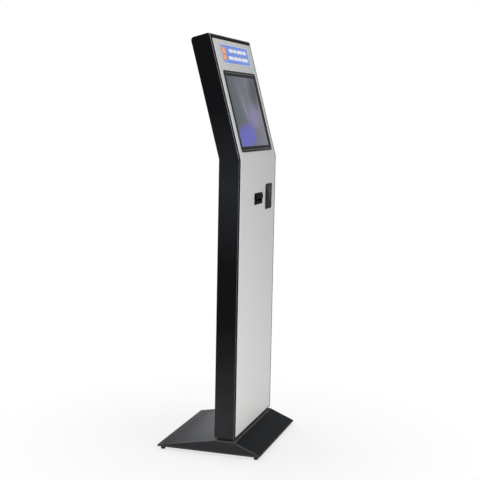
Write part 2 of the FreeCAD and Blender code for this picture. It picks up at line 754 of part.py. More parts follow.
def front_panel():
    across_panel = (-PANEL_HALF, PANEL_HALF)
    outer = band(PANEL_FRONT, PANEL_RETURN, PANEL_LOW_BORDER, PANEL_TOP_BORDER, across_panel)
    hollow = band(
        PANEL_BACK,
        PANEL_RETURN + OVERRUN,
        PANEL_LOW_BORDER + SHEET,
        PANEL_TOP_BORDER + SHEET,
        (SHEET - PANEL_HALF, PANEL_HALF - SHEET),
    )
    tray = outer.cut(hollow)
    bosses = at_bosses(hexagon(PANEL_BOSS_RADIUS, -PANEL_RETURN, -PANEL_BACK).rotated(ORIGIN, ALONG_X, 90))
    holes = at_bosses(deep_hexagon(SCREW_RADIUS, (0, 0), (PANEL_BACK, PANEL_RETURN + OVERRUN)))
    through = (PANEL_FRONT - OVERRUN, PANEL_RETURN + OVERRUN)
    mouth_size = (SLOT_WIDTH + 2 * SLOT_WALL + 2 * GAP, SLOT_HEIGHT + 2 * SLOT_WALL + 2 * GAP)
    mouth = on_column(upright_plate(mouth_size, 0, (0, SLOT_Z), through))
    reader_size = (
        READER_WIDTH - 2 * READER_RIM + 2 * READER_SLEEVE_WALL + 2 * GAP,
        READER_HEIGHT - 2 * READER_RIM + 2 * READER_SLEEVE_WALL + 2 * GAP,
    )
    reader = on_column(upright_plate(reader_size, 0, (READER_OFFSET, MOUTH_CENTRE), through))
    return tray.fuse(bosses).cut(holes + [mouth, reader, display_cutout(through)])


def panel_rails():
    inner = HALF - HOUSING_SHEET
    ends = (RAIL_END_INSET, RAIL_END_INSET)
    strip = band(PANEL_RETURN, RAIL_BACK, *ends, (inner - RAIL_WIDTH, inner))
    flange = band(RAIL_BACK, RAIL_BACK + RAIL_FLANGE, *ends, (inner - SHEET, inner))
    holes = at_bosses(deep_hexagon(SCREW_RADIUS + GAP, (0, 0), (0, RAIL_BACK + OVERRUN)))
    holes += [on_column(tool) for tool in bench_screw_tools()]
    rail = strip.fuse(flange).removeSplitter()
    return Part.makeCompound([side.cut(holes) for side in both_sides(rail)])


def sign_plate():
    ys = (PANEL_FRONT - SIGN_THICKNESS, PANEL_FRONT)
    plate = upright_plate((SIGN_WIDTH, SIGN_HEIGHT), SIGN_RADIUS, (0, SIGN_CENTRE), ys)
    return on_head(plate)


# Touch display

def display_plate(half_w, half_h, radius, ys):
    return upright_plate((2 * half_w, 2 * half_h), radius, (0, DISPLAY_CENTRE), ys)


def glass_halves():
    return SLEEVE_HALF_W - BEZEL_SLEEVE, SLEEVE_HALF_H - BEZEL_SLEEVE


def screen_bezel():
    front = PANEL_FRONT - BEZEL_PROUD
    flange = display_plate(BEZEL_WIDTH / 2, BEZEL_HEIGHT / 2, BEZEL_RADIUS, (front, PANEL_FRONT))
    flange = bevelled(flange, BEZEL_CHAMFER, lambda p: near(p.y, front))
    sleeve = display_plate(SLEEVE_HALF_W, SLEEVE_HALF_H, 0, (PANEL_FRONT, PANEL_FRONT + BEZEL_SLEEVE_DEPTH))
    half_w, half_h = glass_halves()
    through = (front - OVERRUN, PANEL_FRONT + BEZEL_SLEEVE_DEPTH + OVERRUN)
    bore = display_plate(half_w, half_h, GLASS_RADIUS, through)
    return on_head(flange.fuse(sleeve).cut(bore).removeSplitter())


def touch_glass():
    half_w, half_h = glass_halves()
    return on_head(display_plate(half_w - GAP, half_h - GAP, GLASS_RADIUS - GAP, (GLASS_FRONT, GLASS_BACK)))


def lcd_module():
    module = display_plate(LCD_WIDTH / 2, LCD_HEIGHT / 2, 0, (GLASS_BACK, LCD_BACK))
    return on_head(module)


def wall_plate_places():
    half = WALL_PLATE_PITCH / 2
    return grid((-half, half), (DISPLAY_CENTRE - half, DISPLAY_CENTRE + half))


def board_places():
    """The four stand-offs of the display's controller board, beside the wall plate holes."""
    low_x = WALL_PLATE_PITCH / 2 + 2 * STANDOFF_INSET
    width, height = DISPLAY_BOARD_WIDTH / 2, DISPLAY_BOARD_HEIGHT / 2
    xs = (low_x + STANDOFF_INSET / 2, low_x + width)
    zs = (DISPLAY_CENTRE + STANDOFF_INSET - height, DISPLAY_CENTRE + height - STANDOFF_INSET)
    return grid(xs, zs)


def display_chassis():
    """The open-fronted steel tray that holds the display, with vents and the usual square of holes behind."""
    front = PANEL_FRONT + BEZEL_SLEEVE_DEPTH
    outer = display_plate(SLEEVE_HALF_W, SLEEVE_HALF_H, 0, (front, CHASSIS_REAR))
    half_w, half_h = SLEEVE_HALF_W - CHASSIS_SHEET, SLEEVE_HALF_H - CHASSIS_SHEET
    hollow = display_plate(half_w, half_h, 0, (front - OVERRUN, CHASSIS_REAR - CHASSIS_SHEET))
    rear = (CHASSIS_REAR - OVERRUN, CHASSIS_REAR + OVERRUN)
    vents = []
    for x in (-VENT_COLUMN_PITCH, VENT_COLUMN_PITCH):
        for z in evenly(DISPLAY_CENTRE - WALL_PLATE_PITCH, CHASSIS_VENT_PITCH, CHASSIS_VENT_COUNT // 2):
            vents.append(upright_plate((CHASSIS_VENT_LENGTH, CHASSIS_VENT_WIDTH), 0, (x, z), rear))
    holes = [deep_rod(WALL_PLATE_HOLE_RADIUS, place, rear) for place in wall_plate_places()]
    seat = CHASSIS_SHEET - CHASSIS_REAR
    post = hexagon(STANDOFF_RADIUS, seat, seat + STANDOFF_LENGTH)
    post = post.rotated(ORIGIN, ALONG_X, 90)
    posts = [post.translated(vec(x, 0, z)) for x, z in board_places()]
    tray = outer.cut([hollow] + vents + holes).fuse(posts)
    return on_head(tray)


def display_board():
    places = board_places()
    xs = (places[0][0] - STANDOFF_INSET, places[-1][0] + STANDOFF_INSET)
    zs = (places[0][1] - STANDOFF_INSET, places[-1][1] + STANDOFF_INSET)
    back = CHASSIS_REAR - CHASSIS_SHEET - STANDOFF_LENGTH
    board = block(xs, (back - BOARD_THICKNESS, back), zs)
    mid_x, mid_z = sum(xs) / 2, sum(zs) / 2
    front = back - BOARD_THICKNESS
    chips = [
        block((mid_x - s, mid_x + s), (front - CHIP_HEIGHT / 2, front), (mid_z + r - s, mid_z + r + s))
        for s, r in ((STANDOFF_LENGTH, 0), (STANDOFF_INSET, DISPLAY_BOARD_HEIGHT / 4))
    ]
    return on_head(board.fuse(chips).removeSplitter())


def display_brackets():
    """Angle brackets that tie the display's sides to the back of the front panel."""
    low = DISPLAY_CENTRE - BEZEL_HEIGHT / 2 + BRACKET_MARGIN
    high = DISPLAY_CENTRE + BEZEL_HEIGHT / 2 - BRACKET_MARGIN
    edge = SLEEVE_HALF_W
    reach = BRACKET_FOOT_SHARE * (PANEL_HALF - SHEET - edge)
    foot = block((edge, edge + reach), (PANEL_BACK, PANEL_BACK + SHEET), (low, high))
    wing = block((edge, edge + SHEET), (PANEL_BACK, CHASSIS_REAR - SHEET), (low, high))
    return Part.makeCompound([on_head(side) for side in both_sides(foot.fuse(wing).removeSplitter())])


# Head cover and fan

def cover_screw_places():
    x = COVER_WIDTH / 2 - COVER_SCREW_INSET
    z = COVER_HEIGHT / 2 - COVER_SCREW_INSET
    return grid((-x, x), (COVER_CENTRE - z, COVER_CENTRE + z))


def cover_screw_tools(radius):
    ys = (HEAD_THICKNESS - OVERRUN, HEAD_THICKNESS + OVERRUN)
    return [deep_hexagon(radius, place, ys) for place in cover_screw_places()]


def head_cover():
    ys = (HEAD_THICKNESS, HEAD_THICKNESS + SHEET)
    plate = upright_plate((COVER_WIDTH, COVER_HEIGHT), COVER_RADIUS, (0, COVER_CENTRE), ys)
    through = (HEAD_THICKNESS - OVERRUN, HEAD_THICKNESS + OVERRUN)
    cuts = cover_screw_tools(SCREW_RADIUS + GAP)
    for x in (-VENT_COLUMN_PITCH, 0, VENT_COLUMN_PITCH):
        for z in evenly(INTAKE_CENTRE, VENT_PITCH, VENT_ROWS):
            cuts.append(upright_plate((VENT_LENGTH, VENT_WIDTH), 0, (x, z), through))
    reach = FAN_BORE_RADIUS - FAN_SLOT_WIDTH
    for z in evenly(0, FAN_SLOT_PITCH, VENT_ROWS):
        length = 2 * math.sqrt(reach ** 2 - z ** 2)
        cuts.append(upright_plate((length, FAN_SLOT_WIDTH), 0, (0, FAN_CENTRE + z), through))
    return on_head(plate.cut(cuts))


def fan_frame():
    """Square fan housing: a round duct, four struts and the motor's base on the inner side."""
    rear = HEAD_THICKNESS
    front = rear - FAN_THICKNESS
    centre = (0, FAN_CENTRE)
    shell = upright_plate((FAN_SIDE, FAN_SIDE), FAN_CORNER_RADIUS, centre, (front, rear))
    duct = deep_rod(FAN_BORE_RADIUS, (0, FAN_CENTRE), (front - OVERRUN, rear + OVERRUN))
    shell = shell.cut(duct)
    base_back = front + FAN_HUB_BASE
    base = deep_rod(FAN_HUB_RADIUS, (0, FAN_CENTRE), (front, base_back))
    struts = []
    half_strut = FAN_STRUT / 2
    for i in range(FAN_STRUT_COUNT):
        strut = block((0, FAN_BORE_RADIUS + half_strut), (front, base_back), (-half_strut, half_strut))
        turn = 360 * (i + 1 / 2) / FAN_STRUT_COUNT
        struts.append(strut.rotated(ORIGIN, ALONG_Y, turn).translated(vec(0, 0, FAN_CENTRE)))
    bore = deep_rod(FAN_AXLE_RADIUS + RUNNING, (0, FAN_CENTRE), (front - OVERRUN, rear))
    return on_head(shell.fuse([base] + struts).cut(bore).removeSplitter())


def fan_rotor():
    """Hub cap with twisted blades, and the axle that runs in the motor's base."""
    front = HEAD_THICKNESS - FAN_THICKNESS
    hub_front = front + FAN_HUB_BASE + GAP
    hub_rear = HEAD_THICKNESS - GAP
    hub = Part.makeCylinder(FAN_HUB_RADIUS - GAP, hub_rear - hub_front, vec(0, hub_front, 0), ALONG_Y)
    axle = deep_rod(FAN_AXLE_RADIUS, (0, 0), (front + GAP, hub_rear))
    tip = FAN_BORE_RADIUS - FAN_BLADE_GAP
    half_sweep = FAN_BLADE_CHORD / 2 * math.cos(math.radians(FAN_BLADE_PITCH_DEG)) + FAN_BLADE_THICKNESS
    reach = math.sqrt(tip ** 2 - half_sweep ** 2)
    middle = (hub_front + hub_rear) / 2
    root = FAN_HUB_RADIUS - 2 * FAN_BLADE_THICKNESS
    half_chord, half_thick = FAN_BLADE_CHORD / 2, FAN_BLADE_THICKNESS / 2
    blades = []
    for i in range(FAN_BLADE_COUNT):
        blade = block((-half_chord, half_chord), (-half_thick, half_thick), (root, reach))
        blade = blade.rotated(ORIGIN, ALONG_Z, FAN_BLADE_PITCH_DEG).translated(vec(0, middle, 0))
        blades.append(blade.rotated(ORIGIN, ALONG_Y, 360 * i / FAN_BLADE_COUNT))
    rotor = hub.fuse(blades + [axle]).removeSplitter()
    return on_head(rotor.translated(vec(0, 0, FAN_CENTRE)))


# Rear door, hinges and lock

def hinge_heights():
    return spread(DOOR_LOW, DOOR_HIGH, HINGE_SHARES)


def rear_door():
    half = DOOR_HALF - LOOSE
    zs = (DOOR_LOW + LOOSE, DOOR_HIGH - LOOSE)
    inner_y = DEPTH - SHEET
    outer = block((-half, half), (inner_y - DOOR_RETURN, DEPTH), zs)
    hollow_ys = (inner_y - DOOR_RETURN - OVERRUN, inner_y)
    hollow = block((SHEET - half, half - SHEET), hollow_ys, (zs[0] + SHEET, zs[1] - SHEET))
    through = (DEPTH - OVERRUN, DEPTH + OVERRUN)
    cuts = [hollow, deep_rod(LOCK_RADIUS + GAP / 2, (LOCK_X, LOCK_Z), through)]
    for middle in spread(DOOR_LOW, DOOR_HIGH, DOOR_VENT_SHARES):
        for z in evenly(middle, VENT_PITCH, DOOR_VENT_ROWS):
            cuts.append(upright_plate((DOOR_VENT_LENGTH, VENT_WIDTH), 0, (0, z), through))
    return on_column(outer.cut(cuts))


def hinge_leaf(x_edges, low, bore):
    """One leaf with its knuckle, lying on the rear face."""
    high = low + HINGE_KNUCKLE_HEIGHT
    leaf = block(x_edges, (DEPTH, DEPTH + HINGE_LEAF_THICKNESS), (low, high))
    barrel = rod(HINGE_BARREL_RADIUS, vec(DOOR_HALF, HINGE_DEPTH, low), vec(DOOR_HALF, HINGE_DEPTH, high))
    hole = rod(bore, vec(DOOR_HALF, HINGE_DEPTH, low - OVERRUN), vec(DOOR_HALF, HINGE_DEPTH, high + OVERRUN))
    return on_column(leaf.fuse(barrel).cut(hole))


def body_hinge_leaves():
    edges = (DOOR_HALF, DOOR_HALF + HINGE_LEAF_WIDTH)
    lows = [z - HINGE_GAP / 2 - HINGE_KNUCKLE_HEIGHT for z in hinge_heights()]
    return Part.makeCompound([hinge_leaf(edges, low, HINGE_PIN_RADIUS) for low in lows])


def door_hinge_leaves():
    edges = (DOOR_HALF - LOOSE - HINGE_LEAF_WIDTH, DOOR_HALF)
    lows = [z + HINGE_GAP / 2 for z in hinge_heights()]
    return Part.makeCompound([hinge_leaf(edges, low, HINGE_PIN_RADIUS + RUNNING) for low in lows])


def hinge_pins():
    reach = HINGE_KNUCKLE_HEIGHT + HINGE_GAP / 2
    pins = [
        rod(HINGE_PIN_RADIUS, vec(DOOR_HALF, HINGE_DEPTH, z - reach), vec(DOOR_HALF, HINGE_DEPTH, z + reach))
        for z in hinge_heights()
    ]
    return Part.makeCompound([on_column(pin) for pin in pins])


def at_lock(shape):
    return on_column(shape.translated(vec(LOCK_X, DEPTH, LOCK_Z)))


def lock_body():
    barrel = rod(LOCK_RADIUS, vec(0, -LOCK_DEPTH, 0), ORIGIN)
    flange = rod(LOCK_FLANGE_RADIUS, ORIGIN, vec(0, LOCK_FLANGE, 0))
    bore = deep_rod(PLUG_RADIUS + RUNNING, (0, 0), (-LOCK_DEPTH - OVERRUN, LOCK_FLANGE + OVERRUN))
    return at_lock(barrel.fuse(flange).cut(bore).removeSplitter())


def lock_nut():
    thread = Part.makeCylinder(LOCK_RADIUS, LOCK_NUT_THICKNESS)
    nut = hexagon(LOCK_NUT_RADIUS, 0, LOCK_NUT_THICKNESS).cut(thread)
    return at_lock(nut.rotated(ORIGIN, ALONG_X, 90).translated(vec(0, -SHEET, 0)))


def lock_plug():
    """Key plug with its cam; the cam hangs down, which is the unlocked position."""
    plug = deep_rod(PLUG_RADIUS, (0, 0), (-LOCK_DEPTH - GAP, LOCK_FLANGE))
    keyway = block(
        (-KEYWAY_WIDTH / 2, KEYWAY_WIDTH / 2),
        (LOCK_FLANGE - KEYWAY_DEPTH, LOCK_FLANGE + OVERRUN),
        (-KEYWAY_HEIGHT / 2, KEYWAY_HEIGHT / 2),
    )
    cam_back = -LOCK_DEPTH - GAP
    half = CAM_WIDTH / 2
    reach = CAM_LENGTH + half
    centre = (0, half - reach / 2)
    cam = upright_plate((CAM_WIDTH, reach), half / 2, centre, (cam_back - CAM_THICKNESS, cam_back))
    return at_lock(plug.cut(keyway).fuse(cam))


# Ticket mouth and reader

def ticket_bezel():
    """Flange with a hooded lip over the slot, a scoop under it and the throat that leads from the cutter."""
    front = PANEL_FRONT - MOUTH_FLANGE
    flange = upright_plate((MOUTH_WIDTH, MOUTH_HEIGHT), MOUTH_RADIUS, (0, MOUTH_CENTRE), (front, PANEL_FRONT))
    half = MOUTH_WIDTH / 2 - HOOD_MARGIN
    top = MOUTH_CENTRE + MOUTH_HEIGHT / 2
    lip = SLOT_Z + SLOT_HEIGHT / 2
    hood_front = front - HOOD_REACH
    hood_profile = [
        (front, lip), (front, top - HOOD_MARGIN / 2), (hood_front, top - 2 * HOOD_MARGIN), (hood_front, lip)
    ]
    hood = across(hood_profile, [0, 0, HOOD_REACH, 0], -half, half)
    throat_end = CUTTER_FRONT - GAP
    throat = block(
        (-SLOT_WIDTH / 2 - SLOT_WALL, SLOT_WIDTH / 2 + SLOT_WALL),
        (PANEL_FRONT, throat_end),
        (SLOT_Z - SLOT_HEIGHT / 2 - SLOT_WALL, SLOT_Z + SLOT_HEIGHT / 2 + SLOT_WALL),
    )
    slot = block(
        (-SLOT_WIDTH / 2, SLOT_WIDTH / 2),
        (front - HOOD_REACH - OVERRUN, throat_end + OVERRUN),
        (SLOT_Z - SLOT_HEIGHT / 2, SLOT_Z + SLOT_HEIGHT / 2),
    )
    low = SLOT_Z - SLOT_HEIGHT / 2
    ahead = front - OVERRUN
    foot = low - SCOOP_HEIGHT
    scoop_profile = [(ahead, foot), (front, foot), (PANEL_FRONT, low), (ahead, low)]
    scoop = sharp(scoop_profile, -SCOOP_WIDTH / 2, SCOOP_WIDTH / 2)
    return on_column(flange.fuse([hood, throat]).cut([slot, scoop]).removeSplitter())


def reader_plate(margin, radius, ys):
    size = (READER_WIDTH - 2 * margin, READER_HEIGHT - 2 * margin)
    return upright_plate(size, radius, (READER_OFFSET, MOUTH_CENTRE), ys)


def reader_frame():
    front = PANEL_FRONT - READER_FLANGE
    flange = reader_plate(0, READER_RADIUS, (front, PANEL_FRONT))
    flange = bevelled(flange, READER_CHAMFER, lambda p: near(p.y, front))
    inner_radius = READER_RADIUS - READER_SLEEVE_WALL
    sleeve = reader_plate(READER_RIM - READER_SLEEVE_WALL, 0, (PANEL_FRONT, READER_SLEEVE_DEPTH))
    bore = reader_plate(READER_RIM, inner_radius, (front - OVERRUN, READER_SLEEVE_DEPTH + OVERRUN))
    return on_column(flange.fuse(sleeve).cut(bore).removeSplitter())


def reader_window():
    """A slightly crowned dark window, set back in its frame."""
    front = PANEL_FRONT - READER_FLANGE + READER_WINDOW_RECESS
    radius = READER_RADIUS - READER_SLEEVE_WALL
    plate = reader_plate(READER_RIM, radius, (front, front + READER_WINDOW_THICKNESS))
    ball = Part.makeSphere(READER_DOME_RADIUS, vec(READER_OFFSET, front + READER_DOME_RADIUS, MOUTH_CENTRE))
    return on_column(plate.common(ball))


def reader_module():
    margin = READER_RIM - READER_SLEEVE_WALL
    low = READER_SLEEVE_DEPTH
    body = reader_plate(margin, READER_MODULE_RADIUS, (low, low + READER_MODULE_DEPTH))
    eye = deep_rod(READER_EYE_RADIUS, (READER_OFFSET, MOUTH_CENTRE), (low - READER_EYE_REACH, low))
    return on_column(body.fuse(eye))


# Ticket printer

def printer_shelf():
    """A full-width angle on the rails that carries the paper bucket."""
    half = EQUIPMENT_WIDTH / 2
    web = block((-half, half), (RAIL_BACK, RAIL_BACK + SHEET), (SHELF_HEIGHT - SHELF_WEB, SHELF_HEIGHT))
    deck = block((-half, half), (RAIL_BACK, SHELF_REACH), (SHELF_HEIGHT - SHEET, SHELF_HEIGHT))
    return on_column(web.fuse(deck).removeSplitter())


def bucket_half():
    return TICKET_WIDTH / 2 + BUCKET_SIDE_GAP + BUCKET_CHEEK


def paper_bucket():
    """A cradle for the roll: a round trough between cheeks that are slotted for the spindle."""
    half = bucket_half()
    trough = ROLL_RADIUS + ROLL_CLEARANCE
    ys = (ROLL_DEPTH - trough - BUCKET_FLOOR, ROLL_DEPTH + trough + BUCKET_FLOOR)
    zs = (SHELF_HEIGHT, SHELF_HEIGHT + BUCKET_HEIGHT)
    solid = block((-half, half), ys, zs)
    inner = half - BUCKET_CHEEK
    round_part = cross_rod(trough, (-inner, inner), ROLL_AXIS)
    above = block((-inner, inner), (ROLL_DEPTH - trough, ys[1] + OVERRUN), (ROLL_Z, zs[1] + OVERRUN))
    rear_ys = (ROLL_DEPTH, ys[1] + OVERRUN)
    behind = block((-inner, inner), rear_ys, (SHELF_HEIGHT + BUCKET_REAR_LIP, zs[1] + OVERRUN))
    journal = JOURNAL_RADIUS + GAP
    slot_xs = (-half - OVERRUN, half + OVERRUN)
    slot_round = cross_rod(journal, slot_xs, ROLL_AXIS)
    slot = block(slot_xs, rear_ys, (ROLL_Z - journal, ROLL_Z + journal))
    return on_column(solid.cut([round_part, above, behind, slot_round, slot]))


def paper_spindle():
    inner = bucket_half() - BUCKET_CHEEK - GAP
    outer = bucket_half()
    thick = cross_rod(SPINDLE_RADIUS, (-inner, inner), ROLL_AXIS)
    thin = cross_rod(JOURNAL_RADIUS, (-outer, outer), ROLL_AXIS)
    return on_column(thick.fuse(thin).removeSplitter())


def roll_tube(outer, inner):
    half = TICKET_WIDTH / 2
    ends = vec(-half, ROLL_DEPTH, ROLL_Z), vec(half, ROLL_DEPTH, ROLL_Z)
    bore_ends = vec(-half - OVERRUN, ROLL_DEPTH, ROLL_Z), vec(half + OVERRUN, ROLL_DEPTH, ROLL_Z)
    return on_column(rod(outer, *ends).cut(rod(inner, *bore_ends)))


def paper_roll():
    return roll_tube(ROLL_RADIUS, CORE_BORE_RADIUS + CORE_WALL)


def roll_core():
    return roll_tube(CORE_BORE_RADIUS + CORE_WALL, CORE_BORE_RADIUS)


def printer_frame():
    """Steel frame on the bucket: a slotted floor between two cheeks notched for the platen."""
    outer = FRAME_INNER + SHEET
    zs = (FRAME_LOW, FRAME_HIGH)
    solid = block((-outer, outer), (FRAME_FRONT, FRAME_REAR), zs)
    hollow = block((-FRAME_INNER, FRAME_INNER), (0, DEPTH), (FRAME_LOW + SHEET, FRAME_HIGH + OVERRUN))
    half = TICKET_WIDTH / 2 + PLATEN_SIDE_GAP
    web_slot = block((-half, half), (COVER_HINGE_DEPTH - 2 * PLATEN_RADIUS, DEPTH), (0, FRAME_LOW + OVERRUN))
    notch_half = PLATEN_SHAFT_RADIUS + NOTCH_GAP
    notch_ys = (PLATEN_DEPTH - notch_half, PLATEN_DEPTH + notch_half)
    notch = block((-2 * outer, 2 * outer), notch_ys, (PLATEN_Z, FRAME_HIGH + OVERRUN))
    notch_round = cross_rod(notch_half, (-2 * outer, 2 * outer), PLATEN_AXIS)
    pin_hole = cross_rod(COVER_PIN_RADIUS, (-2 * outer, 2 * outer), COVER_AXIS)
    motor_hole = cross_rod(MOTOR_SHAFT_RADIUS + GAP, (0, 2 * outer), PINION_AXIS)
    axle_hole = cross_rod(IDLER_AXLE_RADIUS, (0, 2 * outer), IDLER_AXIS)
    return on_column(solid.cut([hollow, web_slot, notch, notch_round, pin_hole, motor_hole, axle_hole]))


def print_head():
    """Thermal head: a flat heater board on a finned heat sink."""
    half = TICKET_WIDTH / 2 + PLATEN_SIDE_GAP
    ys = (PLATEN_DEPTH - HEAD_DEPTH / 2, PLATEN_DEPTH + HEAD_DEPTH / 2)
    low = HEAD_TOP - HEAD_HEIGHT
    solid = block((-half, half), ys, (low, HEAD_TOP))
    gap = HEAD_DEPTH / (2 * HEAD_FIN_COUNT - 1)
    fin_zs = (low - OVERRUN, low + HEAD_FIN_HEIGHT)
    starts = [ys[0] + gap * (2 * i + 1) for i in range(HEAD_FIN_COUNT - 1)]
    cuts = [block((-2 * half, 2 * half), (start, start + gap), fin_zs) for start in starts]
    return on_column(solid.cut(cuts))


def head_bracket():
    """A folded bracket from the frame's floor up to the print head."""
    half = TICKET_WIDTH / 4
    low, high = FRAME_LOW + SHEET, HEAD_TOP - HEAD_HEIGHT
    back = PLATEN_DEPTH + HEAD_DEPTH / 2
    wall = block((-half, half), (back - SHEET, back), (low, high))
    foot = block((-half, half), (back - HEAD_DEPTH / 2, back), (low, low + SHEET))
    top = block((-half, half), (back - HEAD_DEPTH / 2, back), (high - SHEET, high))
    return on_column(wall.fuse([foot, top]).removeSplitter())


def cutter_body():
    ys = (CUTTER_FRONT, CUTTER_FRONT + CUTTER_DEPTH)
    solid = block((-FRAME_INNER, FRAME_INNER), ys, (SLOT_Z - CUTTER_BELOW, SLOT_Z + CUTTER_ABOVE))
    slot_half = SLOT_WIDTH / 2 - PLATEN_SIDE_GAP
    slot = block((-slot_half, slot_half), (0, DEPTH), (SLOT_Z - SLOT_HEIGHT / 2, SLOT_Z + SLOT_HEIGHT / 2))
    pocket_half = slot_half + GAP
    thick = BLADE_THICKNESS / 2 + GAP
    low = SLOT_Z - SLOT_HEIGHT / 2 - BLADE_HEIGHT - 2 * GAP
    high = SLOT_Z - SLOT_HEIGHT / 2 + BLADE_TRAVEL + GAP
    pocket = block((-pocket_half, pocket_half), (BLADE_DEPTH - thick, BLADE_DEPTH + thick), (low, high))
    return on_column(solid.cut([slot, pocket]))


def cutter_blade():
    """Guillotine blade with a shallow vee edge, down below the ticket's path at rest."""
    half = SLOT_WIDTH / 2 - PLATEN_SIDE_GAP
    top = SLOT_Z - SLOT_HEIGHT / 2 - GAP
    low = top - BLADE_HEIGHT
    outline_xz = ((-half, low), (half, low), (half, top), (0, top - BLADE_VEE), (-half, top))
    points = [vec(x, BLADE_DEPTH - BLADE_THICKNESS / 2, z) for x, z in outline_xz]
    return on_column(rounded_face(points, [0] * len(points)).extrude(vec(0, BLADE_THICKNESS, 0)))


def printer_cover():
    """Lifting cover over the paper path; its cheeks carry the platen's bushes."""
    cheek_outer = FRAME_INNER - 2 * GAP
    plate_low = FRAME_HIGH + GAP
    front = FRAME_FRONT + CUTTER_DEPTH + 2 * GAP + BLADE_THICKNESS
    rear = COVER_HINGE_DEPTH + 2 * COVER_PIN_RADIUS
    plate_high = plate_low + COVER_PLATE
    plate = block((-cheek_outer, cheek_outer), (front, rear), (plate_low, plate_high))
    outer = FRAME_INNER + SHEET
    tab = block((-outer, outer), (front, front + COVER_TAB), (plate_low, plate_high))
    grip_xs = (-COVER_GRIP_WIDTH / 2, COVER_GRIP_WIDTH / 2)
    grip = block(grip_xs, (front, front + COVER_PLATE), (plate_low, plate_high + COVER_GRIP_HEIGHT))
    bush_low = PLATEN_Z - BUSH_RADIUS - SHEET + GAP
    wrap = BUSH_RADIUS + SHEET
    profile = [
        (front, plate_high),
        (front, PLATEN_Z),
        (PLATEN_DEPTH - wrap, bush_low),
        (PLATEN_DEPTH + wrap, bush_low),
        (rear, COVER_HINGE_Z - 2 * COVER_PIN_RADIUS),
        (rear, plate_high),
    ]
    cheek = sharp(profile, cheek_outer - CHEEK_WALL, cheek_outer)
    ends = 2 * outer
    bores = [
        cross_rod(BUSH_RADIUS, (-ends, ends), PLATEN_AXIS),
        cross_rod(COVER_PIN_RADIUS + RUNNING, (-ends, ends), COVER_AXIS),
    ]
    return on_column(plate.fuse([tab, grip] + both_sides(cheek)).cut(bores).removeSplitter())


def cover_pin():
    half = FRAME_INNER + SHEET
    return on_column(cross_rod(COVER_PIN_RADIUS, (-half, half), COVER_AXIS))


def platen_bushes():
    outer = FRAME_INNER - 2 * GAP
    ring = cross_rod(BUSH_RADIUS, (outer - CHEEK_WALL, outer), PLATEN_AXIS)
    bore = cross_rod(PLATEN_SHAFT_RADIUS + RUNNING, (0, 2 * outer), PLATEN_AXIS)
    return Part.makeCompound([on_column(side) for side in both_sides(ring.cut(bore))])


def gear_face_x():
    return GEAR_LOW_X, GEAR_LOW_X + GEAR_WIDTH


def platen_shaft():
    far = gear_face_x()[1] + SHEET
    return on_column(cross_rod(PLATEN_SHAFT_RADIUS, (-FRAME_INNER - SHEET, far), PLATEN_AXIS))


def platen_roller():
    half = TICKET_WIDTH / 2 + PLATEN_SIDE_GAP
    ends = vec(-half, PLATEN_DEPTH, PLATEN_Z), vec(half, PLATEN_DEPTH, PLATEN_Z)
    return on_column(rod(PLATEN_RADIUS, *ends).cut(rod(PLATEN_SHAFT_RADIUS, *ends)))


def gear(teeth, bore, axis, phase):
    """A spur gear with straight-flanked teeth, its axis across the kiosk at a (y, z) place."""
    depth, height = axis
    pitch = GEAR_MODULE * teeth / 2
    tip = pitch + GEAR_MODULE - RUNNING
    foot = pitch - GEAR_MODULE * (1 + 1 / 4)
    step = 2 * math.pi / teeth
    x = gear_face_x()[0]
    flank_shares = ((foot, -0.34), (tip, -0.12), (tip, 0.12), (foot, 0.34))
    points = []
    for i in range(teeth):
        for radius, share in flank_shares:
            turn = step * (i + share + phase)
            points.append(vec(x, depth + radius * math.cos(turn), height + radius * math.sin(turn)))
    wheel = rounded_face(points, [0] * len(points)).extrude(vec(GEAR_WIDTH, 0, 0))
    hole = cross_rod(bore, (x - OVERRUN, x + GEAR_WIDTH + OVERRUN), (depth, height))
    return on_column(wheel.cut(hole))


def mesh_phase(teeth, toward_deg, want_tooth):
    """The turn, in teeth, that puts a tooth or a gap on the line towards the mating gear."""
    along = toward_deg / 360 * teeth
    return along if want_tooth else along + 1 / 2


def platen_gear():
    return gear(PLATEN_TEETH, PLATEN_SHAFT_RADIUS, PLATEN_AXIS, mesh_phase(PLATEN_TEETH, -90, False))


def idler_gear():
    return gear(IDLER_TEETH, IDLER_AXLE_RADIUS + RUNNING, IDLER_AXIS, mesh_phase(IDLER_TEETH, 90, True))


def motor_pinion():
    # The idler's tooth nearest the pinion decides whether the pinion shows a tooth or a gap there
    idler_turn = (PINION_ANGLE_DEG - 90) / 360 * IDLER_TEETH
    offset = idler_turn - round(idler_turn)
    back = (PINION_ANGLE_DEG + 180) / 360 * PINION_TEETH
    return gear(PINION_TEETH, MOTOR_SHAFT_RADIUS, PINION_AXIS, back + 1 / 2 + offset)


def idler_axle():
    far = gear_face_x()[1] + SHEET
    pin = cross_rod(IDLER_AXLE_RADIUS, (FRAME_INNER, far), IDLER_AXIS)
    cap_low = gear_face_x()[1] + GAP
    cap = cross_rod(2 * IDLER_AXLE_RADIUS, (cap_low, far), IDLER_AXIS)
    return on_column(pin.fuse(cap).removeSplitter())


def feed_motor():
    can = cross_rod(MOTOR_RADIUS, (FRAME_INNER - MOTOR_LENGTH, FRAME_INNER), PINION_AXIS)
    bore_xs = (FRAME_INNER - MOTOR_LENGTH / 2, FRAME_INNER + OVERRUN)
    bore = cross_rod(MOTOR_SHAFT_RADIUS + RUNNING, bore_xs, PINION_AXIS)
    return on_column(can.cut(bore))


def motor_shaft():
    near_x = FRAME_INNER - MOTOR_LENGTH / 2 + GAP
    return on_column(cross_rod(MOTOR_SHAFT_RADIUS, (near_x, gear_face_x()[1] + GAP), PINION_AXIS))


def button_place():
    return (FRAME_FRONT + FRAME_REAR) / 2, FRAME_LOW + PRINTER_BOARD_HEIGHT / 2


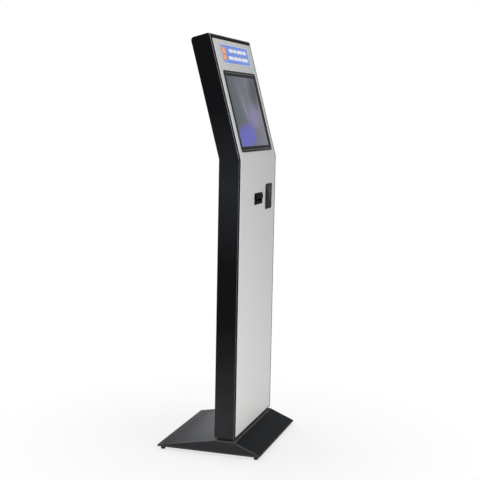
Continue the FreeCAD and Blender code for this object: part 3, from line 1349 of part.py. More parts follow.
def printer_board():
    """Control board on the printer's left cheek, with the fixed base of its feed button."""
    mid_y, mid_z = button_place()
    ys = (mid_y - PRINTER_BOARD_DEPTH / 2, mid_y + PRINTER_BOARD_DEPTH / 2)
    board = block((BOARD_X, BOARD_X + BOARD_THICKNESS), ys, (FRAME_LOW, FRAME_LOW + PRINTER_BOARD_HEIGHT))
    half = BUTTON_BASE_SIDE / 2
    base_x = BOARD_X - BUTTON_BASE_HEIGHT
    base = block((base_x, BOARD_X), (mid_y - half, mid_y + half), (mid_z - half, mid_z + half))
    chip_ys = (ys[0] + STANDOFF_INSET, mid_y - BUTTON_BASE_SIDE)
    chip = block((BOARD_X - CHIP_HEIGHT / 2, BOARD_X), chip_ys, (mid_z - half, mid_z + BUTTON_BASE_SIDE))
    spacer_xs = (BOARD_X + BOARD_THICKNESS, -FRAME_INNER - SHEET)
    spacer_low = block(spacer_xs, ys, (FRAME_LOW, FRAME_LOW + STANDOFF_RADIUS))
    bore = cross_rod(BUTTON_STEM_RADIUS + RUNNING, (base_x - OVERRUN, BOARD_X), (mid_y, mid_z))
    return on_column(board.fuse([base, chip, spacer_low]).cut(bore).removeSplitter())


def feed_button():
    mid_y, mid_z = button_place()
    face = BOARD_X - BUTTON_BASE_HEIGHT
    cap_low = face - BUTTON_TRAVEL - GAP
    cap = cross_rod(BUTTON_CAP_RADIUS, (cap_low - BUTTON_CAP_HEIGHT, cap_low), (mid_y, mid_z))
    stem = cross_rod(BUTTON_STEM_RADIUS, (cap_low, face + BUTTON_TRAVEL), (mid_y, mid_z))
    return on_column(cap.fuse(stem))


# Electronics in the column

def equipment_places():
    half = EQUIPMENT_WIDTH / 2 - EQUIPMENT_SCREW_INSET
    return grid((-half, half), spread(EQUIPMENT_LOW, EQUIPMENT_HIGH, EQUIPMENT_SCREW_SHARES))


def bench_screw_tools():
    ys = (PANEL_RETURN - OVERRUN, RAIL_BACK + SHEET + OVERRUN)
    return [deep_hexagon(SCREW_RADIUS, place, ys) for place in equipment_places()]


def equipment_plate():
    """Steel plate across the rails that carries the computer and the power supply."""
    half = EQUIPMENT_WIDTH / 2
    plate = block((-half, half), (RAIL_BACK, RAIL_BACK + SHEET), (EQUIPMENT_LOW, EQUIPMENT_HIGH))
    return on_column(plate.cut(bench_screw_tools()))


def computer():
    """Fanless computer: a cast case whose rear face is a comb of cooling fins."""
    front = RAIL_BACK + SHEET
    high = UNIT_LOW + COMPUTER_HEIGHT
    centre = (COMPUTER_X, UNIT_LOW + COMPUTER_HEIGHT / 2)
    body_back = front + COMPUTER_DEPTH - FIN_HEIGHT
    body = upright_plate((COMPUTER_WIDTH, COMPUTER_HEIGHT), COMPUTER_RADIUS, centre, (front, body_back))
    pitch = (COMPUTER_WIDTH - 2 * COMPUTER_RADIUS - FIN_THICKNESS) / (FIN_COUNT - 1)
    half_fin = FIN_THICKNESS / 2
    fin_zs = (UNIT_LOW + COMPUTER_RADIUS, high - COMPUTER_RADIUS)
    fins = [
        block((x - half_fin, x + half_fin), (body_back, body_back + FIN_HEIGHT), fin_zs)
        for x in evenly(COMPUTER_X, pitch, FIN_COUNT)
    ]
    bore_y = (front + body_back) / 2
    mouth, floor = (vec(COMPUTER_X, bore_y, z) for z in (high + OVERRUN, high - BUTTON_CAP_HEIGHT))
    bore = rod(POWER_BUTTON_RADIUS + RUNNING, floor, mouth)
    return on_column(body.fuse(fins).cut(bore).removeSplitter())


def computer_button():
    front = RAIL_BACK + SHEET
    bore_y = front + (COMPUTER_DEPTH - FIN_HEIGHT) / 2
    high = UNIT_LOW + COMPUTER_HEIGHT
    low = high - BUTTON_CAP_HEIGHT + BUTTON_TRAVEL + GAP
    ends = (vec(COMPUTER_X, bore_y, z) for z in (low, high + BUTTON_TRAVEL))
    return on_column(rod(POWER_BUTTON_RADIUS, *ends))


def power_supply():
    """Slotted sheet case with its terminal row at the lower end."""
    front = RAIL_BACK + SHEET
    back = front + SUPPLY_DEPTH
    xs = (SUPPLY_X - SUPPLY_WIDTH / 2, SUPPLY_X + SUPPLY_WIDTH / 2)
    high = UNIT_LOW + SUPPLY_HEIGHT
    case = block(xs, (front, back), (UNIT_LOW + TERMINAL_HEIGHT, high))
    hollow = block(
        (xs[0] + SUPPLY_WALL, xs[1] - SUPPLY_WALL),
        (front + SUPPLY_WALL, back - SUPPLY_WALL),
        (UNIT_LOW + TERMINAL_HEIGHT + SUPPLY_WALL, high - SUPPLY_WALL),
    )
    middle = UNIT_LOW + TERMINAL_HEIGHT + (SUPPLY_HEIGHT - TERMINAL_HEIGHT) / 2
    through = (back - OVERRUN, back + OVERRUN)
    slot_size = (SUPPLY_SLOT_LENGTH, SUPPLY_SLOT_WIDTH)
    slot_zs = evenly(middle, SUPPLY_SLOT_PITCH, SUPPLY_SLOT_COUNT)
    slots = [upright_plate(slot_size, 0, (SUPPLY_X, z), through) for z in slot_zs]
    foot_zs = (UNIT_LOW, UNIT_LOW + TERMINAL_HEIGHT)
    ledge = block(xs, (front, front + SUPPLY_WALL), foot_zs)
    terminal_xs = (xs[0] + TERMINAL_INSET, xs[1] - TERMINAL_INSET)
    terminals = block(terminal_xs, (front + SUPPLY_WALL, front + TERMINAL_DEPTH), foot_zs)
    return on_column(case.cut([hollow] + slots).fuse([ledge, terminals]).removeSplitter())


# Power inlet

def inlet_screw_places():
    return [INLET_X - INLET_SCREW_PITCH / 2, INLET_X + INLET_SCREW_PITCH / 2]


def inlet_screw_tools(radius):
    ys = (DEPTH - OVERRUN, DEPTH + INLET_FLANGE_THICKNESS + OVERRUN)
    return [deep_hexagon(radius, (x, INLET_HEIGHT), ys) for x in inlet_screw_places()]


def socket_hollow(ys, height):
    """The socket: a box whose two upper corners are cut off."""
    half_w, half_h = SOCKET_WIDTH / 2, SOCKET_HEIGHT / 2
    shoulder_w, shoulder_h = half_w - SOCKET_CHAMFER, half_h - SOCKET_CHAMFER
    right = [(half_w, -half_h), (half_w, shoulder_h), (shoulder_w, half_h)]
    left = [(-x, z) for x, z in right[::-1]]
    points = [vec(INLET_X + x, ys[0], height + z) for x, z in right + left]
    return rounded_face(points, [0] * len(points)).extrude(vec(0, ys[1] - ys[0], 0))


def power_inlet():
    """Mains inlet and switch housing in one moulding, with the three blades of the socket."""
    face = DEPTH + INLET_FLANGE_THICKNESS
    centre = (INLET_X, INLET_HEIGHT)
    flange_size = (INLET_FLANGE_WIDTH, INLET_FLANGE_HEIGHT)
    flange = upright_plate(flange_size, INLET_FLANGE_RADIUS, centre, (DEPTH, face))
    body = upright_plate((INLET_BODY_WIDTH, INLET_BODY_HEIGHT), 0, centre, (DEPTH - INLET_BODY_DEPTH, DEPTH))
    socket_z = INLET_HEIGHT - SOCKET_DROP
    socket = socket_hollow((face - SOCKET_DEPTH, face + OVERRUN), socket_z)
    blades = []
    for x, z in ((-PIN_SPREAD, -PIN_DROP), (PIN_SPREAD, -PIN_DROP), (0, PIN_DROP)):
        xs = (INLET_X + x - PIN_WIDTH / 2, INLET_X + x + PIN_WIDTH / 2)
        zs = (socket_z + z - PIN_HEIGHT / 2, socket_z + z + PIN_HEIGHT / 2)
        blades.append(block(xs, (face - SOCKET_DEPTH, face - PIN_SHORT), zs))
    well_half_w = ROCKER_WIDTH / 2 + GAP
    well_half_h = ROCKER_HEIGHT / 2 + 2 * GAP
    pivot_y = face - ROCKER_PIVOT_DEPTH
    well = block(
        (INLET_X - well_half_w, INLET_X + well_half_w),
        (pivot_y - rocker_radius(), face + OVERRUN),
        (SWITCH_Z - well_half_h, SWITCH_Z + well_half_h),
    )
    pivot_xs = (INLET_X - well_half_w - SHEET, INLET_X + well_half_w + SHEET)
    pivot = cross_rod(ROCKER_SHAFT_RADIUS + RUNNING, pivot_xs, (pivot_y, SWITCH_Z))
    screws = inlet_screw_tools(SCREW_RADIUS + GAP)
    return on_column(flange.fuse(body).cut([socket, well, pivot] + screws).fuse(blades).removeSplitter())


def rocker_radius():
    return ROCKER_HEIGHT / 2


def power_rocker():
    """Rocker with a shallow vee face on a cross shaft, resting tipped to its off side."""
    face = DEPTH + INLET_FLANGE_THICKNESS
    pivot_y = face - ROCKER_PIVOT_DEPTH
    half_h = ROCKER_HEIGHT / 2 - GAP
    half_w = ROCKER_WIDTH / 2
    tip_y = ROCKER_PIVOT_DEPTH + ROCKER_CROWN * math.cos(math.radians(ROCKER_TILT_DEG))
    belly = rocker_radius() - 2 * GAP
    lower = [(tip_y, -half_h), (0, -half_h), (-belly, -half_h / 2)]
    upper = [(y, -z) for y, z in lower[::-1]]
    body = sharp([(ROCKER_PIVOT_DEPTH, 0)] + lower + upper, -half_w, half_w)
    shaft = cross_rod(ROCKER_SHAFT_RADIUS, (-half_w - SHEET, half_w + SHEET), (0, 0))
    rocker = body.fuse(shaft).rotated(ORIGIN, ALONG_X, ROCKER_TILT_DEG)
    return on_column(rocker.translated(vec(INLET_X, pivot_y, SWITCH_Z)))


# The screws, all alike

def hex_screws():
    screws = at_bosses(screw_in().translated(vec(0, RAIL_BACK, 0)))
    for x, z in cover_screw_places():
        screws.append(on_head(screw_in().translated(vec(x, HEAD_THICKNESS + SHEET, z))))
    for x, z in equipment_places():
        screws.append(on_column(screw_in().translated(vec(x, RAIL_BACK + SHEET, z))))
    for x in inlet_screw_places():
        screws.append(on_column(screw_in().translated(vec(x, DEPTH + INLET_FLANGE_THICKNESS, INLET_HEIGHT))))
    return Part.makeCompound(screws)


PIECES = [
    base_cover, base_plate, base_feet, base_riser, column_plinth, column_bolts, hex_screws,
    housing, front_panel, panel_rails, sign_plate,
    screen_bezel, touch_glass, lcd_module, display_chassis, display_board, display_brackets,
    head_cover, fan_frame, fan_rotor,
    rear_door, body_hinge_leaves, door_hinge_leaves, hinge_pins, lock_body, lock_nut, lock_plug,
    ticket_bezel, reader_frame, reader_window, reader_module,
    printer_shelf, paper_bucket, paper_spindle, paper_roll, roll_core,
    printer_frame, print_head, head_bracket, cutter_body, cutter_blade,
    printer_cover, cover_pin, platen_bushes, platen_shaft, platen_roller, platen_gear,
    idler_gear, idler_axle, feed_motor, motor_shaft, motor_pinion, printer_board, feed_button,
    equipment_plate, computer, computer_button, power_supply,
    power_inlet, power_rocker,
]


def pivots():
    """The points that the moving pieces turn about, in the kiosk's own frame."""
    fan = on_head(Part.Vertex(0, HEAD_THICKNESS, FAN_CENTRE)).Point
    places = {
        "rear_door": vec(DOOR_HALF, HINGE_DEPTH, LOCK_Z),
        "lock_plug": vec(LOCK_X, DEPTH, LOCK_Z),
        "printer_cover": vec(0, COVER_HINGE_DEPTH, COVER_HINGE_Z),
        "platen": vec(0, PLATEN_DEPTH, PLATEN_Z),
        "idler": vec(0, PLATEN_DEPTH, IDLER_Z),
        "pinion": vec(0, PINION_DEPTH, PINION_Z),
        "paper_roll": vec(0, ROLL_DEPTH, ROLL_Z),
        "rocker": vec(INLET_X, DEPTH + INLET_FLANGE_THICKNESS - ROCKER_PIVOT_DEPTH, SWITCH_Z),
    }
    placed = {name: point + vec(0, FRONT_Y, 0) for name, point in places.items()}
    placed["fan"] = fan
    return placed


def main():
    os.makedirs("parts", exist_ok=True)
    for piece in PIECES:
        shape = piece()
        shape.exportStep(os.path.join("parts", piece.__name__ + ".step"))
    for name, point in pivots().items():
        print("pivot", name, round(point.x, 3), round(point.y, 3), round(point.z, 3))


main()
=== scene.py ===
"""Looks of the floor-standing queue ticket kiosk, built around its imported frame.

Metres, +Z up, +Y to the back.
"""
import json
import math

import bpy
from mathutils import Matrix, Vector


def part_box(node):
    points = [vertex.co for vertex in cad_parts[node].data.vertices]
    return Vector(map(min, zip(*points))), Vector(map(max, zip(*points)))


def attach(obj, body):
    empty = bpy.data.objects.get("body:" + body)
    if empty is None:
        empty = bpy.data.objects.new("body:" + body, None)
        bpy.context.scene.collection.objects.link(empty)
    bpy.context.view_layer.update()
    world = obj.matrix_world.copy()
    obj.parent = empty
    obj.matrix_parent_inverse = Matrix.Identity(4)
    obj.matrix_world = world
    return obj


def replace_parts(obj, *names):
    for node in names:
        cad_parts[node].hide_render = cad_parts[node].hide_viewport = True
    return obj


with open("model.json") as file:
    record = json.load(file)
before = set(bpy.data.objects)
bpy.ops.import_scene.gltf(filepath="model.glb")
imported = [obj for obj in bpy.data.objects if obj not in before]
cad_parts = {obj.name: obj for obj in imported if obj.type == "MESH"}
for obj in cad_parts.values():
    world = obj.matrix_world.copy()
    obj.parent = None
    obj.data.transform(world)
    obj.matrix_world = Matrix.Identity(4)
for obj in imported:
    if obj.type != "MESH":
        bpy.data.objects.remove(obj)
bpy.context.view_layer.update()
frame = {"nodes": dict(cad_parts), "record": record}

nodes = frame["nodes"]

# Camera, fitted to the photograph's edges
CAMERA_PLACE = (-3.9205, -1.2497, 1.2930)
CAMERA_YAW, CAMERA_PITCH, CAMERA_ROLL = -1.270186, -0.120000, 0.019415
CAMERA_LENS, CAMERA_SENSOR = 78.895, 36.0

# Light: power in watts, place and size of each soft box, all turned to the kiosk's middle
LIGHT_TARGET = (0, -0.06, 0.8)
SOFT_BOXES = {
    "front_soft_box": (66, (-1.2, -4.4, 1.3), 2.6),
    "top_soft_box": (46, (0.4, 0.8, 4.0), 3.0),
    "rear_soft_box": (52, (2.6, 3.6, 1.8), 2.4),
}
AMBIENT = 0.5
WHITE = (1, 1, 1, 1)

# Floor: a share of it is plain white within the near distance, and all of it beyond the far one
FLOOR_SIDE = 60
FLOOR_COLOUR = (0.93, 0.93, 0.93, 1)
SHADOW_NEAR, SHADOW_FAR = 0.32, 1.0
SHADOW_SHARE = 0.72

# Places on the kiosk, as the CAD source has them; heights on the head run up its face
LEAN = math.radians(15)
FRONT_Y = -0.104
HEAD_LENGTH = 0.4767
BEND_Z = 1.5835 - HEAD_LENGTH * math.cos(LEAN)
SIGN_CENTRE = (0, 0.4030)
SIGN_SIZE = (0.340, 0.075)
SIGN_FACE = -0.0027
PICTURE_CENTRE = 0.182
PICTURE_HALF = (0.177, 0.135)
PICTURE_SIDE = -0.009
READER_CENTRE = (0.142, 0.965)
HEAD_FRAME = Matrix.Translation((0, FRONT_Y, BEND_Z)) @ Matrix.Rotation(-LEAN, 4, "X")
QUARTER_TURN = math.pi / 2


# Camera, light and floor

def set_camera():
    camera = bpy.data.objects.new("camera", bpy.data.cameras.new("camera"))
    bpy.context.collection.objects.link(camera)
    turn = Matrix.Rotation(CAMERA_YAW, 4, "Z")
    turn = turn @ Matrix.Rotation(QUARTER_TURN + CAMERA_PITCH, 4, "X")
    turn = turn @ Matrix.Rotation(CAMERA_ROLL, 4, "Z")
    camera.matrix_world = Matrix.Translation(CAMERA_PLACE) @ turn
    camera.data.lens = CAMERA_LENS
    camera.data.sensor_width = CAMERA_SENSOR
    bpy.context.scene.camera = camera


def set_soft_boxes():
    for name, (power, place, side) in SOFT_BOXES.items():
        lamp = bpy.data.lights.new(name, "AREA")
        lamp.shape, lamp.size, lamp.energy = "SQUARE", side, power
        box = bpy.data.objects.new(name, lamp)
        box.location = place
        aim = Vector(LIGHT_TARGET) - Vector(place)
        box.rotation_euler = aim.to_track_quat("-Z", "Y").to_euler()
        bpy.context.collection.objects.link(box)


# Materials

class Signal:
    """One socket's output. Sums, products and comparisons of signals add Math nodes."""

    def __init__(self, tree, socket):
        self.tree, self.socket = tree, socket

    def __add__(self, other):
        return self.tree.math("ADD", self, other)

    def __sub__(self, other):
        return self.tree.math("SUBTRACT", self, other)

    def __rsub__(self, other):
        return self.tree.math("SUBTRACT", other, self)

    def __mul__(self, other):
        return self.tree.math("MULTIPLY", self, other)

    def __truediv__(self, other):
        return self.tree.math("DIVIDE", self, other)

    def __gt__(self, other):
        return self.tree.math("GREATER_THAN", self, other)

    def __abs__(self):
        return self.tree.math("ABSOLUTE", self)

    __radd__ = __add__


class NodeTree:
    """A material's or the world's nodes. Its methods add nodes and give back signals."""

    def __init__(self, tree):
        self.tree = tree

    def node(self, kind, settings=None, inputs=(), output=0):
        """Adds a node: its settings first, then its inputs by place or by name."""
        made = self.tree.nodes.new(kind)
        for key, value in (settings or {}).items():
            setattr(made, key, value)
        pairs = inputs.items() if isinstance(inputs, dict) else enumerate(inputs)
        for key, value in pairs:
            self.feed(made.inputs[key], value)
        return Signal(self, made.outputs[output])

    def feed(self, socket, value):
        """Joins a signal to a socket, or sets the socket's own value."""
        if isinstance(value, Signal):
            self.tree.links.new(value.socket, socket)
        else:
            socket.default_value = value

    def math(self, operation, first, second=0):
        return self.node("ShaderNodeMath", {"operation": operation}, [first, second])

    def place(self, scale=(1, 1, 1), location=(0, 0, 0), rotation=(0, 0, 0)):
        """Object coordinates, moved, turned and stretched for a pattern."""
        raw = self.node("ShaderNodeTexCoord", output=3)
        inputs = {"Vector": raw, "Location": location, "Rotation": rotation, "Scale": scale}
        return self.node("ShaderNodeMapping", {"vector_type": "POINT"}, inputs)

    def axes(self, vector):
        """A vector's x, y and z."""
        split = self.node("ShaderNodeSeparateXYZ", None, [vector])
        parts = split.socket.node.outputs
        return [Signal(self, parts[i]) for i in range(3)]

    def noise(self, scale, detail=2.0, roughness=0.5, vector=None):
        inputs = {"Vector": vector or self.place(), "Scale": scale,
                  "Detail": detail, "Roughness": roughness}
        return self.node("ShaderNodeTexNoise", None, inputs)

    def cells(self, scale, vector=None, output=0):
        """Voronoi cells: output 0 is the distance to a cell's point, 1 the cell's own colour."""
        inputs = {"Vector": vector or self.place(), "Scale": scale}
        return self.node("ShaderNodeTexVoronoi", {"feature": "F1"}, inputs, output)

    def spread(self, signal, low, high, to_low=0.0, to_high=1.0):
        """Maps a signal's low..high to another range, held at its ends."""
        inputs = [signal, low, high, to_low, to_high]
        return self.node("ShaderNodeMapRange", {"clamp": True}, inputs)

    def mix(self, share, first, second):
        """A colour between two others."""
        made = self.node("ShaderNodeMix", {"data_type": "RGBA"}, {"Factor": share}, 2)
        for socket, value in zip(made.socket.node.inputs[6:8], (first, second)):
            self.feed(socket, value)
        return made

    def layers(self, colour, *over):
        """A colour with others laid over it in turn, each as (share, colour)."""
        for share, wanted in over:
            colour = self.mix(share, colour, wanted)
        return colour

    def bump(self, height, distance, strength):
        inputs = {"Height": height, "Distance": distance, "Strength": strength}
        return self.node("ShaderNodeBump", None, inputs)


class Finish(NodeTree):
    """One material: a Principled shader whose inputs are numbers, colours or signals."""

    def __init__(self, name):
        self.material = bpy.data.materials.new(name)
        self.material.use_nodes = True
        super().__init__(self.material.node_tree)
        self.shader = self.tree.nodes["Principled BSDF"]

    def paint(self, **inputs):
        for key, value in inputs.items():
            self.feed(self.shader.inputs[key.replace("_", " ")], value)
        return self.material


def grey(level, warmth=0.0):
    return (level * (1 + warmth), level, level * (1 - warmth), 1)


def seen_share(tree):
    """1 for rays that show a thing: from the camera, from gloss and through glass."""
    path = tree.node("ShaderNodeLightPath").socket.node.outputs
    names = ("Is Camera Ray", "Is Glossy Ray", "Is Transmission Ray")
    camera, glossy, through = (Signal(tree, path[name]) for name in names)
    return tree.spread(camera + glossy + through, 0, 1)


def floor_material():
    """Pale floor that keeps its shadow near the kiosk and fades to the white surroundings."""
    finish = Finish("pale_floor")
    finish.tree.nodes.remove(finish.shader)
    matt = finish.node("ShaderNodeBsdfDiffuse", None, {"Color": FLOOR_COLOUR})
    white = finish.node("ShaderNodeEmission", None, {"Color": WHITE, "Strength": 1.0})
    away = finish.node("ShaderNodeVectorMath", {"operation": "LENGTH"}, [finish.place()], "Value")
    fade = finish.spread(away, SHADOW_NEAR, SHADOW_FAR, SHADOW_SHARE, 1.0)
    mixed = finish.node("ShaderNodeMixShader", None, [fade * seen_share(finish), matt, white])
    finish.feed(finish.tree.nodes["Material Output"].inputs["Surface"], mixed)
    return finish.material


def lay_floor():
    bpy.ops.object.select_all(action="DESELECT")
    bpy.ops.mesh.primitive_plane_add(size=FLOOR_SIDE)
    floor = bpy.context.object
    floor.name = "floor"
    floor.data.materials.append(floor_material())


def light_surroundings():
    """Even ambient light, white to the camera, to gloss and through glass."""
    world = bpy.data.worlds.new("surroundings")
    bpy.context.scene.world = world
    world.use_nodes = True
    tree = NodeTree(world.node_tree)
    strength = tree.spread(seen_share(tree), 0, 1, AMBIENT, 1.0)
    back = world.node_tree.nodes["Background"]
    tree.feed(back.inputs["Color"], WHITE)
    tree.feed(back.inputs["Strength"], strength)
    bpy.context.scene.view_settings.view_transform = "Standard"


# Masks that several finishes share

def head_place(finish, centre=0.0):
    """Coordinates on the leaning head: x across, z up the face from a centre, y into the head."""
    back = HEAD_FRAME.inverted()
    origin = back @ Vector((0, 0, 0))
    turn = back.to_euler()
    return finish.place(location=(origin.x, origin.y, origin.z - centre), rotation=tuple(turn))


def fine_specks(finish):
    return finish.spread(finish.noise(2200, 2), 0.56, 0.72)


def dust_specks(finish):
    return finish.spread(finish.noise(450, 2), 0.66, 0.74)


def box_mask(finish, x, z, half_w, half_h, soft):
    """1 inside a rectangle, falling to 0 over a soft edge."""
    inside_x = finish.spread(abs(x), half_w, half_w + soft, 1, 0)
    inside_z = finish.spread(abs(z), half_h, half_h + soft, 1, 0)
    return inside_x * inside_z


def blob(finish, x, z, centre, size):
    """A soft round patch of light, 1 at its centre."""
    across = (x - centre[0]) / size[0]
    up = (z - centre[1]) / size[1]
    reach = across * across + up * up
    return finish.spread(reach, 0.0, 1.0, 1, 0)


# Powder coats. Each pair of places says where a mask starts and where it is full

# The folds that get a painted highlight
SIDE_EDGE = (0.2474, 0.2492)
FRONT_EDGE = (0.0034, 0.0012)
# The front border beside the panel, painted darker as shade
FRONT_BORDER = (0.0012, 0.0004)
TOP_EDGE = (HEAD_LENGTH - 0.0075, HEAD_LENGTH - 0.002)
TOP_EDGE_DEPTH = (0.008, 0.006)
BEND_MARGIN = 0.004
# Painted sheen below the bend: its height and its reach
SHEEN_Z, SHEEN_REACH = 1.02, 0.30
# Painted light towards the floor: where it starts and where it is full
COLUMN_PAINTED_LIGHT = (0.50, 0.10)
# Share of the painted highlight on the column's folds; the head's folds get all of it
COLUMN_HIGHLIGHT_SHARE = 0.42
COAT_SPECULAR = 0.01


def black_coat():
    """Fine-textured black powder coat.

    It has a painted highlight along its folds, a soft painted sheen below the bend, painted light
    in patches towards the floor, and painted shade on its front border beside the panel.
    """
    finish = Finish("black_coat")
    peel = finish.noise(1400, 3)
    patches = finish.noise(5, 3)
    x, y, z = finish.axes(finish.place())
    _, depth, rise = finish.axes(head_place(finish))
    on_head = z > BEND_Z + BEND_MARGIN
    depth = on_head * depth + (1 - on_head) * (y - FRONT_Y)
    # Painted highlight along the front and top folds, full on the head
    front_fold = finish.spread(abs(x), *SIDE_EDGE) * finish.spread(depth, *FRONT_EDGE)
    top_fold = finish.spread(rise, *TOP_EDGE) * finish.spread(depth, *TOP_EDGE_DEPTH)
    painted_highlight = finish.math("MAXIMUM", front_fold, top_fold)
    painted_highlight = painted_highlight * finish.spread(finish.noise(35, 3), 0.3, 0.6, 0.55, 1.0)
    painted_highlight = painted_highlight * (COLUMN_HIGHLIGHT_SHARE + on_head * (1 - COLUMN_HIGHLIGHT_SHARE))
    # Painted sheen below the bend
    sheen = finish.spread(abs(z - SHEEN_Z), 0.0, SHEEN_REACH, 1, 0)
    # Painted light: lighter in patches towards the floor
    dust_and_painted_light = finish.spread(z, *COLUMN_PAINTED_LIGHT)
    dust_and_painted_light = dust_and_painted_light * finish.spread(finish.noise(14, 4), 0.3, 0.8, 0.6, 1.0)
    colour = finish.layers(
        finish.mix(patches, (0.0080, 0.0084, 0.0098, 1), (0.0096, 0.0100, 0.0114, 1)),
        (fine_specks(finish) * 0.16, grey(0.026)),
        (sheen * 0.25, (0.085, 0.09, 0.105, 1)),
        (dust_and_painted_light * 0.52, (0.105, 0.105, 0.112, 1)),
        # Painted shade on the front border beside the panel
        (finish.spread(depth, *FRONT_BORDER), grey(0.0015)),
        (painted_highlight * 0.9, (0.40, 0.41, 0.43, 1)),
    )
    return finish.paint(
        Base_Color=colour,
        Roughness=0.42 + patches * 0.08 - painted_highlight * 0.1,
        Specular_IOR_Level=COAT_SPECULAR,
        Normal=finish.bump(peel, 0.00007, 0.7),
    )


# Places on the base for painted light: highlights on its folds and lip, lighter end faces, a
# reflection on the rear slope
BASE_SIDE_FOLD = (0.2500, 0.2520)
BASE_SIDE_LIMIT = (0.2539, 0.2537)
BASE_RIDGE = (0.0575, 0.0595)
BASE_END = (0.2530, 0.2537)
BASE_LIP = (0.0200, 0.0186)
# Painted reflection on the rear slope: the slope, then how it grows across and fades back
REAR_SLOPE = (-0.024, -0.018)
REAR_SHEEN_ACROSS = (-0.25, 0.20)
REAR_SHEEN_BACK = (0.16, 0.0)


def base_coat():
    """The base's black coat.

    It has a painted reflection on the rear slope beside the column, painted highlights on its
    folds and front lip, painted light on its end faces, and dusty patches.
    """
    finish = Finish("base_coat")
    peel = finish.noise(1200, 3)
    patches = finish.noise(9, 3)
    x, y, z = finish.axes(finish.place())
    dust_and_painted_light = finish.spread(finish.noise(40, 4), 0.45, 0.8)
    # Painted highlight along the ridge and the end folds
    side_fold = finish.spread(abs(x), *BASE_SIDE_FOLD) * finish.spread(abs(x), *BASE_SIDE_LIMIT)
    fold = finish.spread(finish.spread(z, *BASE_RIDGE) + side_fold, 0, 1)
    fold = fold * finish.spread(finish.noise(50, 3), 0.3, 0.6, 0.5, 1.0)
    sheen = finish.spread(x, *REAR_SHEEN_ACROSS, 0.32, 1.0)
    sheen = sheen * finish.spread(y, *REAR_SHEEN_BACK, 0.24, 1.0)
    colour = finish.layers(
        finish.mix(patches, (0.0110, 0.0122, 0.0142, 1), (0.0136, 0.0148, 0.0168, 1)),
        (fine_specks(finish) * 0.16, grey(0.022)),
        # Painted reflection on the rear slope
        (finish.spread(y, *REAR_SLOPE) * sheen, (0.350, 0.358, 0.375, 1)),
        # Painted light: the end faces lighter
        (finish.spread(abs(x), *BASE_END), (0.045, 0.046, 0.050, 1)),
        # Painted highlight on the front lip
        (finish.spread(z, *BASE_LIP) * 0.6, grey(0.09)),
        (dust_and_painted_light * 0.05, grey(0.12, 0.02)),
        # Painted highlight on the folds
        (fold * 0.75, grey(0.20)),
    )
    return finish.paint(
        Base_Color=colour,
        Roughness=0.40 + patches * 0.08 + dust_and_painted_light * 0.06,
        Specular_IOR_Level=COAT_SPECULAR,
        Normal=finish.bump(peel, 0.00007, 0.6),
    )


# The white coat's painted light: lighter towards the floor, a highlight on the left rim, shade
# across to the right and at the right edge
PANEL_FALL = (1.1, 0.1)
PANEL_RIM = (-0.2290, -0.2335)
PANEL_RIGHT_SHADE = (0.2325, 0.2340)
PANEL_ACROSS = (-0.22, 0.22)


def white_coat():
    """Satin white powder coat with a faint orange peel.

    Painted light makes it lighter towards the floor and a painted highlight runs along its left
    fold; painted shade darkens it towards its right edge and in a thin line at that edge.
    """
    finish = Finish("white_coat")
    peel = finish.noise(700, 2)
    patches = finish.noise(4, 3)
    x, _, z = finish.axes(finish.place())
    # Painted light: lighter towards the floor
    lower = finish.spread(z, *PANEL_FALL)
    # Painted shade: darker towards the right
    shaded = finish.spread(x, *PANEL_ACROSS) * (0.5 - lower * 0.22)
    colour = finish.layers(
        finish.mix(patches, (0.510, 0.523, 0.518, 1), (0.550, 0.560, 0.553, 1)),
        (lower * 0.85, (0.80, 0.80, 0.785, 1)),
        (shaded, (0.36, 0.37, 0.365, 1)),
        # Painted highlight along the left rim
        (finish.spread(x, *PANEL_RIM), (0.93, 0.93, 0.92, 1)),
        # Painted shade: a dark line along the right edge
        (finish.spread(x, *PANEL_RIGHT_SHADE) * 0.7, grey(0.20)),
    )
    return finish.paint(
        Base_Color=colour,
        Roughness=0.36 + patches * 0.08,
        Specular_IOR_Level=0.2,
        Normal=finish.bump(peel, 0.00005, 0.4),
    )


def grey_coat():
    finish = Finish("grey_coat")
    peel = finish.noise(900, 2)
    patches = finish.noise(12, 3)
    return finish.paint(
        Base_Color=finish.mix(patches, grey(0.075), grey(0.11)),
        Roughness=0.45 + patches * 0.12,
        Normal=finish.bump(peel, 0.00005, 0.5),
    )


# Bare metals

def zinc_plate():
    """Zinc-plated sheet: flat pale crystals, faint rolling marks and dulled patches."""
    finish = Finish("zinc_plate")
    crystals = finish.axes(finish.cells(95.0, finish.place(scale=(1, 1, 0.7)), 1))[0]
    marks = finish.noise(40, 4, 0.6, finish.place(scale=(1, 1, 12)))
    dulled = finish.spread(finish.noise(7, 4), 0.45, 0.75)
    colour = finish.mix(crystals, grey(0.50, -0.01), grey(0.60, -0.02))
    return finish.paint(
        Base_Color=finish.mix(dulled * 0.4, colour, grey(0.46)),
        Roughness=0.30 + crystals * 0.12 + marks * 0.16,
        Metallic=0.9,
        Normal=finish.bump(marks, 0.00004, 0.3),
    )


def turned_steel(name="turned_steel", level=0.62, gloss=0.2, along=(1, 60, 60)):
    """Bright steel with fine machining lines."""
    finish = Finish(name)
    lines = finish.noise(45, 3, 0.6, finish.place(scale=along))
    return finish.paint(
        Base_Color=finish.mix(lines, grey(level * 0.88), grey(level)),
        Roughness=gloss + lines * 0.16,
        Metallic=1.0,
        Normal=finish.bump(lines, 0.00002, 0.4),
    )


def cast_metal(name, level, gloss=0.38, metal=1.0):
    """Extruded or cast aluminium with a fine blasted skin."""
    finish = Finish(name)
    blast = finish.noise(1200, 3)
    flow = finish.noise(18, 3, 0.5, finish.place(scale=(1, 1, 0.15)))
    return finish.paint(
        Base_Color=finish.mix(flow, grey(level * 0.85), grey(level)),
        Roughness=gloss + blast * 0.14,
        Metallic=metal,
        Normal=finish.bump(blast, 0.00004, 0.5),
    )


# Plastics and rubber

